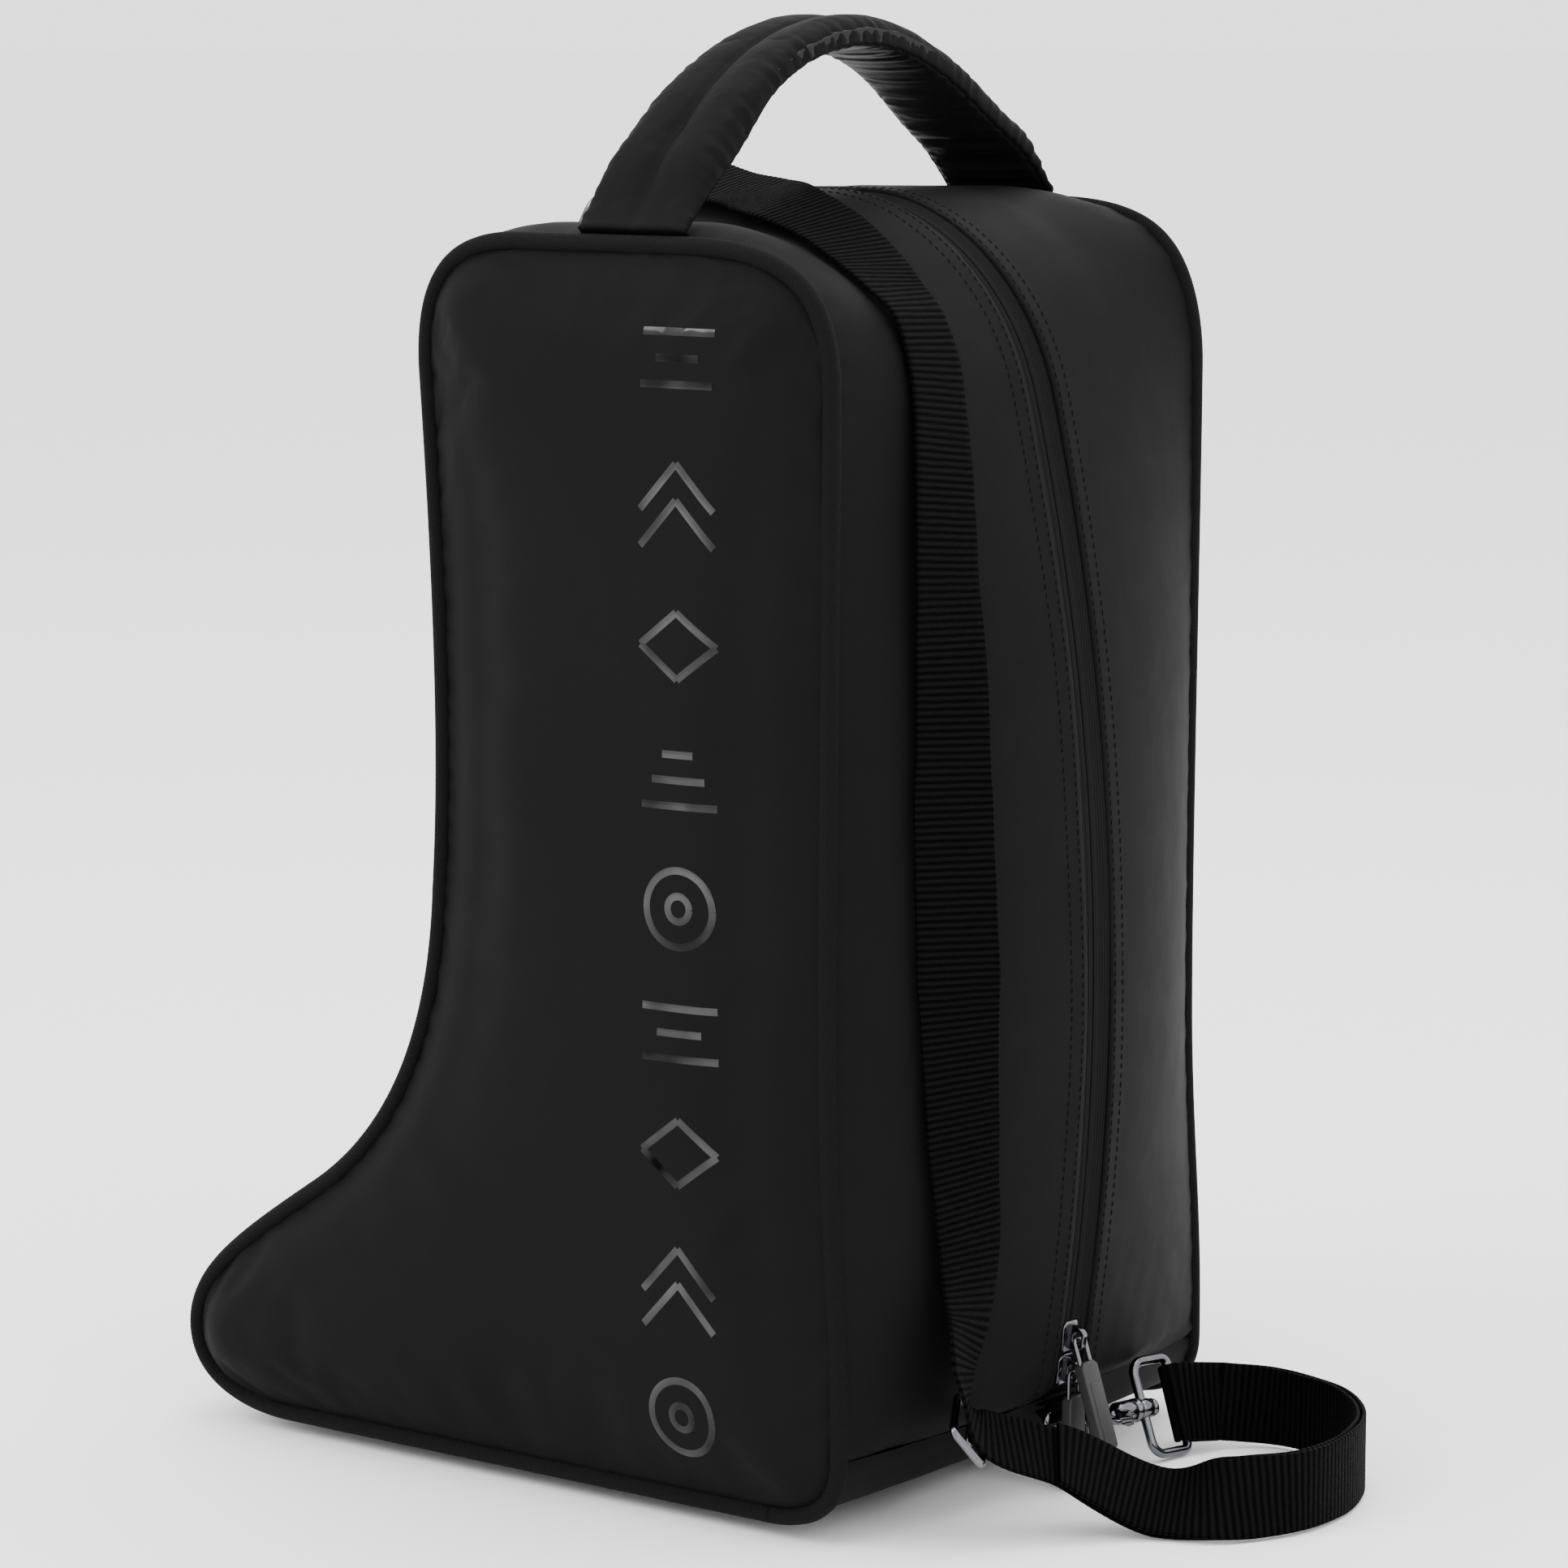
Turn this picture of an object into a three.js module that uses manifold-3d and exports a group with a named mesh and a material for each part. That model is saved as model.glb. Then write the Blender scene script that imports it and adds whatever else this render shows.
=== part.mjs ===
// A boot-shaped shoe bag: coated fabric panels with piping, a two-way back zip, a padded handle,
// a shoulder strap on two swivel hooks, and a pocket on the far side.
// Millimetres, +Z up. The toe points to -X, the zip is on the +X side, the origin is on the floor.
import * as THREE from "three";
import { mergeVertices } from "three/addons/utils/BufferGeometryUtils.js";
import Module from "manifold-3d";

const wasm = await Module();
wasm.setup();

// ---- driving dimensions -------------------------------------------------------------------

const ORIGIN_SHIFT = [4.5, -6, 0]; // everything below is drawn this much off the part's own frame
const GAP = 0.4; // clearance between touching pieces
const FOOT_HEIGHT = 5; // the pipings hang this far above the floor
const TOP = 505; // upper edge of the side panels
const SEAM_Y = 126.5; // plane of each piping's centre line
const PIPING_RADIUS = 4;
const SHELL = 3; // fabric and foam of one panel
const DOME = 11; // how far a side panel swells out past its piping
const DOME_EDGE = { left: 20, right: 12 }; // width of the rounded border of that swell
const ZIP_GAP = 11; // half the slot between the two halves of the rear gusset
const SLIT = 1.2; // half the slit between the two zip tapes
const ZIP_RADIUS = 950; // the zip's run down the back is one arc of this radius
const ZIP_CENTRE = new THREE.Vector2(-768.5, 205);
const HEEL_SEAM = 34; // height of the seam between rear gusset and base
const HANDLE_X = 45.5;
const HANDLE_WIDTH = 53;
const HANDLE_APEX = 578.5; // centre plane of the handle at its highest point
const WEBBING = 32;
const WEBBING_THICKNESS = 1.6;
const LAYER_STEP = 2.4; // from one webbing layer to the next
const WIRE = 1.75; // radius of a D-ring's wire
const POCKET_Z = 396;
const POCKET_ENDS = [-28, 133]; // front and back end of the pocket's zip
const POCKET_FACE = 136.4; // level that the pocket's slider runs at

// ---- materials ----------------------------------------------------------------------------

const finish = (color, roughness, metalness = 0) => () =>
  new THREE.MeshStandardMaterial({ color, roughness, metalness });
const coatedFabric = finish(0x262626, 0.6);
const twill = finish(0x161616, 0.85);
const webbing = finish(0x131313, 0.8);
const liningCloth = finish(0x1b1b1b, 0.75);
const zipTape = finish(0x0e0e0e, 0.8);
const gunmetal = finish(0x8c8c8c, 0.25, 1);
const rubber = finish(0x4a4a4a, 0.65);
const hardRubber = finish(0x1a1a1a, 0.6);
const board = finish(0x303030, 0.8);
const foam = finish(0x3a3a3a, 0.95);

const bag = new THREE.Group();

// The soft parts of the top: the strap lies in a hollow of the near half, and the far side
// stands a little higher. "settled" moves a geometry's points down or up accordingly.
const HOLLOW = { depth: 14, y: -66, width: 30, fades: [-75, -10] };
const RISE = { height: 9, from: 65 };

function settled(geometry) {
  const p = geometry.attributes.position;
  const { smoothstep } = THREE.MathUtils;
  for (let i = 0; i < p.count; i++) {
    const [x, y, z] = [p.getX(i), p.getY(i), p.getZ(i)];
    const level = smoothstep(z, 455, 510) * (1 - smoothstep(z, 524, 560));
    const middle = HOLLOW.depth * smoothstep(x, ...HOLLOW.fades);
    const hollow = middle * Math.exp(-(((y - HOLLOW.y) / HOLLOW.width) ** 2));
    p.setZ(i, z + level * (RISE.height * smoothstep(y, RISE.from, SEAM_Y) - hollow));
  }
  return geometry;
}

function add(name, geometry, material, parent = bag) {
  const mesh = new THREE.Mesh(geometry, material());
  mesh.name = name;
  parent.add(mesh);
  return mesh;
}

// ---- solids -------------------------------------------------------------------------------

// The flat polygons that close a loft's ends, as triangles of the ring's own indices.
function capTriangles(ring) {
  const normal = new THREE.Vector3();
  ring.forEach((p, i) => normal.add(p.clone().cross(ring[(i + 1) % ring.length])));
  normal.normalize();
  const u = new THREE.Vector3().subVectors(ring[1], ring[0]).normalize();
  const v = new THREE.Vector3().crossVectors(normal, u);
  const flat = ring.map((p) => new THREE.Vector2(p.dot(u), p.dot(v)));
  return THREE.ShapeUtils.triangulateShape(flat, []);
}

// A closed solid through rings of the same number of points; closed joins the last to the first.
function loft(rings, closed = false, otherDiagonal = []) {
  const n = rings[0].length;
  const positions = rings.flat().flatMap((p) => [p.x, p.y, p.z]);
  const index = [];
  const steps = closed ? rings.length : rings.length - 1;
  for (let i = 0; i < steps; i++) {
    const a = i * n;
    const b = ((i + 1) % rings.length) * n;
    for (let k = 0; k < n; k++) {
      const l = (k + 1) % n;
      const quad = [a + k, a + l, b + l, b + k];
      if (otherDiagonal.includes(k)) quad.push(quad.shift());
      const [p, q, r, t] = quad;
      index.push(p, q, r, p, r, t);
    }
  }
  if (!closed) {
    const last = (rings.length - 1) * n;
    capTriangles(rings[0]).forEach(([p, q, r]) => index.push(r, q, p));
    capTriangles(rings.at(-1)).forEach(([p, q, r]) => index.push(last + p, last + q, last + r));
  }
  return facingOut(geometryOf(positions, index));
}

function geometryOf(positions, index) {
  return new THREE.BufferGeometry()
    .setAttribute("position", new THREE.Float32BufferAttribute(positions, 3))
    .setIndex(index);
}

function facingOut(geometry) {
  const p = geometry.attributes.position;
  const ids = geometry.index.array;
  const corner = (i) => new THREE.Vector3().fromBufferAttribute(p, ids[i]);
  let volume = 0;
  for (let i = 0; i < ids.length; i += 3) {
    volume += corner(i).dot(corner(i + 1).cross(corner(i + 2)));
  }
  if (volume < 0) geometry.setIndex(Array.from(ids).reverse());
  return geometry;
}

function toSolid(geometry) {
  const g = geometry.clone();
  g.deleteAttribute("normal");
  g.deleteAttribute("uv");
  const merged = mergeVertices(g, 1e-4);
  const triVerts = new Uint32Array(merged.index.array);
  const vertProperties = merged.attributes.position.array;
  return new wasm.Manifold(new wasm.Mesh({ numProp: 3, vertProperties, triVerts }));
}

function fromSolid(solid) {
  const mesh = solid.getMesh();
  return geometryOf(Array.from(mesh.vertProperties), Array.from(mesh.triVerts));
}

// Joins the first list of geometries and cuts the second list out of the result.
function carve(joined, cut = []) {
  let solid = joined.map(toSolid).reduce((a, b) => a.add(b));
  for (const g of cut) solid = solid.subtract(toSolid(g));
  return fromSolid(solid);
}

// A wire of round section along a flat closed path given in the local XY plane.
function wireLoop(points, radius, sides = 6) {
  const rings = points.map((p, i) => {
    const before = points.at(i - 1);
    const after = points[(i + 1) % points.length];
    const side = new THREE.Vector2(after.y - before.y, before.x - after.x).normalize();
    return Array.from({ length: sides }, (_, k) => {
      const a = (2 * Math.PI * k) / sides;
      const out = radius * Math.cos(a);
      return new THREE.Vector3(p.x + side.x * out, p.y + side.y * out, radius * Math.sin(a));
    });
  });
  return loft(rings, true);
}

// Points round a rectangle with its own radius at each end, low x first.
function roundedFrame(x0, x1, halfWidth, lowRadius, highRadius, steps = 4) {
  const path = new THREE.Path();
  path.absarc(x1 - highRadius, halfWidth - highRadius, highRadius, Math.PI / 2, 0, true);
  path.absarc(x1 - highRadius, highRadius - halfWidth, highRadius, 0, -Math.PI / 2, true);
  path.absarc(x0 + lowRadius, lowRadius - halfWidth, lowRadius, -Math.PI / 2, -Math.PI, true);
  path.absarc(x0 + lowRadius, halfWidth - lowRadius, lowRadius, Math.PI, Math.PI / 2, true);
  const arcs = path.curves.filter((c) => c.isEllipseCurve);
  return arcs.flatMap((c) => c.getPoints(steps));
}

function box(x0, x1, y0, y1, z0, z1) {
  const g = new THREE.BoxGeometry(x1 - x0, y1 - y0, z1 - z0);
  return g.translate((x0 + x1) / 2, (y0 + y1) / 2, (z0 + z1) / 2);
}

// A rod along local X.
function rod(x0, x1, radius, sides = 12) {
  const g = new THREE.CylinderGeometry(radius, radius, x1 - x0, sides);
  return g.rotateZ(Math.PI / 2).translate((x0 + x1) / 2, 0, 0);
}

// A plate: a shape in the local XY plane, thickened evenly about it.
function plate(shape, thickness, curveSegments = 6) {
  const options = { depth: thickness, bevelEnabled: false, curveSegments };
  return new THREE.ExtrudeGeometry(shape, options).translate(0, 0, -thickness / 2);
}

// A group whose local X and, as nearly as it can, local Y point along the given directions.
function frameAt(origin, xDirection, yHint) {
  const x = new THREE.Vector3(...xDirection).normalize();
  const z = new THREE.Vector3().crossVectors(x, new THREE.Vector3(...yHint)).normalize();
  const y = new THREE.Vector3().crossVectors(z, x);
  const group = new THREE.Group();
  group.applyMatrix4(new THREE.Matrix4().makeBasis(x, y, z).setPosition(...origin));
  bag.add(group);
  return group;
}

// ---- the outline of the boot --------------------------------------------------------------

// Seams and corners of the outline, walked from the heel along the base, round the toe, up the
// front, over the top and down the back. "rim" is the piping's outer edge and "crown" the middle
// of the gusset, which swells out past it. "full" is how flat that swell is at each end.
const rim = new THREE.Path();
rim.moveTo(113, FOOT_HEIGHT);
rim.lineTo(-138, FOOT_HEIGHT);
rim.bezierCurveTo(-172, FOOT_HEIGHT, -196, 18, -194.5, 42);
rim.bezierCurveTo(-193, 66, -165, 84, -122, 112);
rim.bezierCurveTo(-84, 137, -60, 178, -57, 240);
rim.bezierCurveTo(-53, 290, -54, 350, -61.5, 450);
rim.bezierCurveTo(-63, 486, -48, TOP, -10, TOP);
rim.lineTo(70, TOP);
rim.bezierCurveTo(118, TOP, 146, 494, 146, 446);
rim.bezierCurveTo(146, 380, 143.5, 240, 144.5, 170);
rim.bezierCurveTo(145.5, 120, 150, 90, 150, 46);
rim.lineTo(150, HEEL_SEAM);
rim.bezierCurveTo(150, 17, 138, FOOT_HEIGHT, 113, FOOT_HEIGHT);

const BASE_CROWN = FOOT_HEIGHT + 1;
const zipPoint = (z) => {
  const rise = z - ZIP_CENTRE.y;
  return new THREE.Vector2(ZIP_CENTRE.x + Math.sqrt(ZIP_RADIUS ** 2 - rise ** 2), z);
};
const zipAngle = (z) => Math.asin((z - ZIP_CENTRE.y) / ZIP_RADIUS);
const ZIP_RUN = [440, 170, 41.5]; // heights where the arc starts, is divided and ends

const crown = new THREE.Path();
crown.moveTo(113, BASE_CROWN);
crown.lineTo(-138, BASE_CROWN);
crown.bezierCurveTo(-174, BASE_CROWN, -199, 17, -198, 43);
crown.bezierCurveTo(-197, 72, -168, 93, -126, 121);
crown.bezierCurveTo(-92, 144, -70, 182, -67, 240);
crown.bezierCurveTo(-64, 290, -68, 360, -76, 450);
crown.bezierCurveTo(-79, 488, -58, 512, -10, 518);
crown.lineTo(60, 519.5);
crown.bezierCurveTo(96, 518.5, 139, 491, zipPoint(ZIP_RUN[0]).x, ZIP_RUN[0]);
for (const k of [0, 1]) {
  const [from, to] = [zipAngle(ZIP_RUN[k]), zipAngle(ZIP_RUN[k + 1])];
  crown.absarc(ZIP_CENTRE.x, ZIP_CENTRE.y, ZIP_RADIUS, from, to, true);
}
crown.lineTo(152, HEEL_SEAM - 0.5);
crown.bezierCurveTo(147, 18, 135, BASE_CROWN, 113, BASE_CROWN);

const STRETCHES = [
  { steps: 4, full: [2, 2] }, // base
  { steps: 6, full: [2, 2] }, // toe
  { steps: 5, full: [2, 2] }, // over the toes
  { steps: 6, full: [2, 2] }, // instep
  { steps: 5, full: [2, 3] }, // shin
  { steps: 7, full: [3, 4] }, // upper front corner
  { steps: 2, full: [4, 4] }, // top
  { steps: 7, full: [4, 2] }, // upper back corner
  { steps: 12, full: [2, 2] }, // back
  { steps: 6, full: [2, 2] }, // back, lower down
  { steps: 1, full: [2, 2] }, // heel
  { steps: 6, full: [2, 2] }, // under the heel
];

// A path that starts with absarc joins on with a line of no length: leave those out.
const realCurves = (path) => path.curves.filter((c) => c.getLength() > 0.5);

const stations = STRETCHES.flatMap(({ steps, full }, s) => {
  const [edge, middle] = [realCurves(rim)[s], realCurves(crown)[s]];
  return Array.from({ length: steps }, (_, k) => {
    const t = k / steps;
    const tangent = edge.getTangentAt(t);
    return {
      edge: edge.getPointAt(t),
      middle: middle.getPointAt(t),
      out: new THREE.Vector2(-tangent.y, tangent.x),
      full: THREE.MathUtils.lerp(full[0], full[1], t),
    };
  });
});

const firstOf = (stretch) => STRETCHES.slice(0, stretch).reduce((sum, s) => sum + s.steps, 0);
const TOE_SEAM = firstOf(2);
const TOP_SEAM = firstOf(6) - 4;
const BACK_SEAM = firstOf(11);
const station = (i) => stations[i % stations.length];

// ---- gussets, base and zip: bands that run round the bag between the two pipings -------------

const SEAM_INSET = 2.5; // the band meets the piping this far inside its outer edge

// One cross-section of a band: its outer face from y0 to y1 and, SHELL-like, its inner face back.
function bandRing(s, y0, y1, across, depth, thickness, flat) {
  const outer = [];
  const inner = [];
  for (let k = 0; k <= across; k++) {
    const y = THREE.MathUtils.lerp(y0, y1, k / across);
    const swell = flat ? 1 : 1 - Math.abs(y / SEAM_Y) ** s.full;
    const p = s.edge.clone().addScaledVector(s.out, -SEAM_INSET).lerp(s.middle, swell);
    const face = (d) => new THREE.Vector3(p.x - s.out.x * d, y, p.y - s.out.y * d);
    outer.push(face(depth));
    inner.push(face(depth + thickness));
  }
  return [...outer, ...inner.reverse()];
}

function band(from, to, y0, y1, across, depth = 0, thickness = SHELL, flat = false) {
  const rings = [];
  for (let i = from; i <= to; i++) {
    rings.push(bandRing(station(i), y0, y1, across, depth, thickness, flat));
  }
  return loft(rings);
}

// Shortens a band's last ring so that two bands keep a gap where their seams meet.
function nudged(from, to, build) {
  const hold = [station(from), station(to)];
  const saved = hold.map((s) => ({ edge: s.edge.clone(), middle: s.middle.clone() }));
  const neighbour = [station(from + 1), station(to + stations.length - 1)];
  hold.forEach((s, k) => {
    const toward = neighbour[k];
    for (const key of ["edge", "middle"]) {
      const step = toward[key].clone().sub(saved[k][key]).normalize();
      s[key].addScaledVector(step, GAP);
    }
  });
  const made = build();
  hold.forEach((s, k) => Object.assign(s, saved[k]));
  return made;
}

const BAND_EDGE = SEAM_Y - PIPING_RADIUS - GAP;
const TAPE_DEPTH = SHELL + 1.1;
const COIL_DEPTH = TAPE_DEPTH + 1 + GAP;
const frontGusset = nudged(TOE_SEAM, TOP_SEAM, () =>
  band(TOE_SEAM, TOP_SEAM, -BAND_EDGE, BAND_EDGE, 8),
);
add("front_gusset", settled(frontGusset), coatedFabric);

for (const [side, sign] of [["left", -1], ["right", 1]]) {
  const half = nudged(TOP_SEAM, BACK_SEAM, () =>
    band(TOP_SEAM, BACK_SEAM, sign * ZIP_GAP, sign * BAND_EDGE, 6),
  );
  add("rear_gusset_" + side, settled(half), coatedFabric);
  const tape = nudged(TOP_SEAM + 1, BACK_SEAM, () =>
    band(TOP_SEAM + 1, BACK_SEAM, sign * SLIT, sign * (ZIP_GAP + 4), 1, TAPE_DEPTH, 1, true),
  );
  add("zip_tape_" + side, settled(tape), zipTape);
  const coil = nudged(TOP_SEAM + 1, BACK_SEAM, () =>
    band(TOP_SEAM + 1, BACK_SEAM, sign * SLIT, sign * (SLIT + 3), 1, COIL_DEPTH, 1.8, true),
  );
  add("zip_coil_" + side, settled(coil), zipTape);
}

// The feet go through the base panel and the stiff board on it.
const FEET = {
  toe_left: [-147, -88],
  toe_right: [-147, 88],
  heel_left: [100, -88],
  heel_right: [100, 88],
};
const BOARD = { low: 13, thickness: 3 };
const STEM = 2.5;
const stemHoles = () =>
  Object.values(FEET).map(([x, y]) =>
    new THREE.CylinderGeometry(STEM + GAP, STEM + GAP, 40, 10)
      .rotateX(Math.PI / 2)
      .translate(x, y, 10),
  );

const baseEnd = stations.length + TOE_SEAM;
const basePanel = nudged(BACK_SEAM, baseEnd, () =>
  band(BACK_SEAM, baseEnd, -BAND_EDGE, BAND_EDGE, 8),
);
add("base_panel", carve([basePanel], stemHoles()), coatedFabric);

const boardShape = new THREE.Shape();
const BOARD_HALF = 108;
boardShape.moveTo(117, BOARD_HALF);
boardShape.lineTo(-142, BOARD_HALF);
boardShape.quadraticCurveTo(-158, BOARD_HALF, -158, BOARD_HALF - 20);
boardShape.lineTo(-158, 20 - BOARD_HALF);
boardShape.quadraticCurveTo(-158, -BOARD_HALF, -142, -BOARD_HALF);
boardShape.lineTo(117, -BOARD_HALF);
const boardPlate = plate(boardShape, BOARD.thickness).translate(0, 0, BOARD.low + 1.5);
add("base_board", carve([boardPlate], stemHoles()), board);

for (const [place, [x, y]] of Object.entries(FEET)) {
  const profile = [
    [0, 0],
    [8, 0],
    [9, 1],
    [9, 3.2],
    [7.5, FOOT_HEIGHT + 0.3],
    [STEM, FOOT_HEIGHT + 0.3],
    [STEM, BOARD.low + BOARD.thickness + GAP],
    [5.5, BOARD.low + BOARD.thickness + GAP],
    [5, BOARD.low + BOARD.thickness + 2],
    [0, BOARD.low + BOARD.thickness + 2],
  ].map(([r, z]) => new THREE.Vector2(r, z));
  const turned = new THREE.LatheGeometry(profile, 14).rotateX(Math.PI / 2);
  add("foot_" + place, turned, hardRubber).position.set(x, y, 0);
}

// ---- side panels, their linings and pipings ---------------------------------------------------

const BORDER = 2 * PIPING_RADIUS + GAP;
const insetRim = (distance) =>
  stations.map((s) => s.edge.clone().addScaledVector(s.out, -distance));

// Where a level line crosses the inset outline: its front and its back.
function crossings(points, z) {
  const xs = [];
  points.forEach((p, i) => {
    const q = points[(i + 1) % points.length];
    if (p.y > z !== q.y > z) xs.push(p.x + ((z - p.y) / (q.y - p.y)) * (q.x - p.x));
  });
  return [Math.min(...xs), Math.max(...xs)];
}

function distanceToRim(x, z) {
  const p = new THREE.Vector3(x, z, 0);
  const nearest = new THREE.Vector3();
  let best = Infinity;
  stations.forEach((s, i) => {
    const a = new THREE.Vector3(s.edge.x, s.edge.y, 0);
    const b = new THREE.Vector3(station(i + 1).edge.x, station(i + 1).edge.y, 0);
    new THREE.Line3(a, b).closestPointToPoint(p, true, nearest);
    best = Math.min(best, nearest.distanceTo(p));
  });
  return best;
}

function dome(x, z, edge) {
  const t = THREE.MathUtils.clamp((distanceToRim(x, z) - BORDER) / edge, 0, 1);
  return DOME * (1 - (1 - t) ** 2);
}

const evenly = (from, to, count) =>
  Array.from({ length: count + 1 }, (_, k) => THREE.MathUtils.lerp(from, to, k / count));
const eased = (t) => (1 - Math.cos(Math.PI * t)) / 2;

// A boot-shaped slab that swells out from the seam plane. Its rows are level with the stations up
// the front, so it follows the same corners as the piping.
function sideSlab(side, depth, thickness, columns, step, border) {
  const sign = side === "left" ? -1 : 1;
  const points = insetRim(border);
  const front = points.slice(firstOf(1) + 1, firstOf(6));
  const levels = front.filter((p, i) => i % step === 0).map((p) => p.y);
  const rings = levels.map((z) => {
    const [x0, x1] = crossings(points, z + 1e-6);
    const outer = [];
    const inner = [];
    for (let c = 0; c <= columns; c++) {
      const x = THREE.MathUtils.lerp(x0, x1, eased(c / columns));
      const y = SEAM_Y + SHELL / 2 + dome(x, z, DOME_EDGE[side]) - depth;
      outer.push(new THREE.Vector3(x, sign * y, z));
      inner.push(new THREE.Vector3(x, sign * (y - thickness), z));
    }
    return [...outer, ...inner.reverse()];
  });
  return loft(rings);
}

const POCKET_SLOT = 8; // half the height of the opening that the pocket's zip fills
const panelFace = SEAM_Y + SHELL / 2 + DOME;
const pocketCut = () =>
  box(POCKET_ENDS[0], POCKET_ENDS[1], 100, 150, POCKET_Z - POCKET_SLOT, POCKET_Z + POCKET_SLOT);

const rightPanel = carve([sideSlab("right", 0, SHELL, 8, 1, BORDER)], [pocketCut()]);
add("side_panel_left", settled(sideSlab("left", 0, SHELL, 8, 1, BORDER)), coatedFabric);
add("side_panel_right", settled(rightPanel), coatedFabric);
add("lining_left", settled(sideSlab("left", SHELL + 6, 0.8, 4, 2, 15)), liningCloth);
add("lining_right", settled(sideSlab("right", SHELL + 11.5, 0.8, 4, 2, 15)), liningCloth);

for (const [side, sign] of [["left", -1], ["right", 1]]) {
  const centre = insetRim(PIPING_RADIUS);
  const loop = wireLoop(centre, PIPING_RADIUS, 6);
  const seam = loop.rotateX(Math.PI / 2).translate(0, sign * SEAM_Y, 0);
  add("piping_" + side, settled(seam), twill);
}

// ---- the pocket on the far side ---------------------------------------------------------------

for (const [side, sign] of [["upper", 1], ["lower", -1]]) {
  const [near, far] = [POCKET_Z + sign * SLIT, POCKET_Z + sign * (POCKET_SLOT + 4)];
  const [z0, z1] = [Math.min(near, far), Math.max(near, far)];
  const y = POCKET_FACE - TAPE_DEPTH;
  const tape = box(POCKET_ENDS[0] - 4, POCKET_ENDS[1] - 2, y - 1, y, z0, z1);
  add("pocket_zip_tape_" + side, tape, zipTape);
}
const POUCH_DEPTH = 190;
const POUCH_TOP = POCKET_Z + 14;
const pouchFace = POCKET_FACE - 9.6;
const pouch = box(-30, 118, pouchFace - 1.6, pouchFace, POUCH_TOP - POUCH_DEPTH, POUCH_TOP);
add("pocket_pouch", pouch, liningCloth);

// ---- handle -----------------------------------------------------------------------------------

const HANDLE_FOOT = SEAM_Y - 1;
const HANDLE_RISE = 72;
const HUMP = 9.5; // height of the two padded humps over the handle's centre plane
const GROOVE = 0.55; // the stitched groove between them, as a share of that height
const LEG_FLAT = 0.8; // beyond this share of the half span the padding runs out

// One cross-section of a handle piece: "profile" gives upper and lower height at each place across.
function handleRing(s, places, profile) {
  const y = s * HANDLE_FOOT;
  const z = HANDLE_APEX - HANDLE_RISE * s * s;
  const slope = (-2 * HANDLE_RISE * s) / HANDLE_FOOT;
  const normal = new THREE.Vector2(-slope, 1).normalize();
  const thin = THREE.MathUtils.smoothstep(1 - Math.abs(s), 0, 1 - LEG_FLAT) * 0.8 + 0.2;
  const at = (across, height) =>
    new THREE.Vector3(HANDLE_X + across, y + normal.x * height, z + normal.y * height);
  const upper = places.map((u) => at(u * (HANDLE_WIDTH / 2), profile(u)[0] * thin));
  const lower = places.map((u) => at(u * (HANDLE_WIDTH / 2), profile(u)[1] * thin));
  return [...upper, ...lower.reverse()];
}

function handlePiece(places, profile, reach = 1, steps = 16) {
  const rings = [];
  for (let i = 0; i <= steps; i++) {
    rings.push(handleRing(reach * ((2 * i) / steps - 1), places, profile));
  }
  return settled(loft(rings));
}

const hump = (u) => {
  const w = Math.abs(2 * Math.abs(u) - 1); // 0 on a hump's crest, 1 in the groove and at the edge
  const fall = Math.sqrt(Math.max(0, 1 - w * w));
  return Math.abs(u) < 0.5 ? HUMP * (GROOVE + (1 - GROOVE) * fall) : HUMP * (0.12 + 0.88 * fall);
};
const COVER = 1.2;
const coverProfile = (u) => [hump(u), Math.max(0.3, hump(u) - COVER) * 0.98 - 0.25];
const coreProfile = (u) => [hump(u) * 0.86 - COVER - 0.6, -0.2];
const underProfile = (u) => [-0.9, -0.9 - 3.6 * Math.sqrt(Math.max(0.08, 1 - u * u))];
add("handle_cover", handlePiece(evenly(-1, 1, 12), coverProfile), coatedFabric);
add("handle_core_front", handlePiece(evenly(-0.82, -0.18, 4), coreProfile, 0.8, 10), foam);
add("handle_core_rear", handlePiece(evenly(0.18, 0.82, 4), coreProfile, 0.8, 10), foam);
add("handle_underside", handlePiece(evenly(-0.86, 0.86, 4), underProfile, 0.97), liningCloth);

// ---- zip sliders and their pulls ----------------------------------------------------------------

// Local frame of a slider: X along its travel, Z out of the bag, origin on the gusset's face.
const HINGE_LIFT = 1.9;

function sliderBody() {
  const shield = new THREE.Shape();
  shield.moveTo(6.5, 3.2);
  shield.lineTo(4.5, 5.5);
  shield.lineTo(-5, 4.6);
  shield.lineTo(-6.5, 3.4);
  shield.lineTo(-6.5, -3.4);
  shield.lineTo(-5, -4.6);
  shield.lineTo(4.5, -5.5);
  shield.lineTo(6.5, -3.2);
  const upper = plate(shield, 1.4).translate(0, 0, GAP + 0.7 - TAPE_DEPTH);
  const lower = plate(shield, 1.2).translate(0, 0, -COIL_DEPTH - 1.8 - GAP - 0.6);
  const neck = box(1, 5, -0.7, 0.7, -COIL_DEPTH - 2.5, 1 - TAPE_DEPTH);
  const arch = new THREE.Shape();
  arch.moveTo(-5, -3);
  arch.lineTo(5, -3);
  arch.quadraticCurveTo(5.4, 5, 1.5, 5);
  arch.lineTo(-1.5, 5);
  arch.quadraticCurveTo(-5.4, 5, -5, -3);
  const window = new THREE.Path();
  window.absellipse(0, HINGE_LIFT - 0.2, 3.1, 1.9, 0, 2 * Math.PI);
  arch.holes.push(window);
  const bridge = plate(arch, 2.6).rotateX(Math.PI / 2);
  return carve([upper, lower, neck, bridge]);
}

const LINK_WIRE = 0.9;
const PULL = { start: 9.5, end: 46, half: 5.5, thickness: 4.5 };
const linkPath = () => roundedFrame(0, 12.5, 3.6, 1.4, 1.4, 2);

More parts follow.
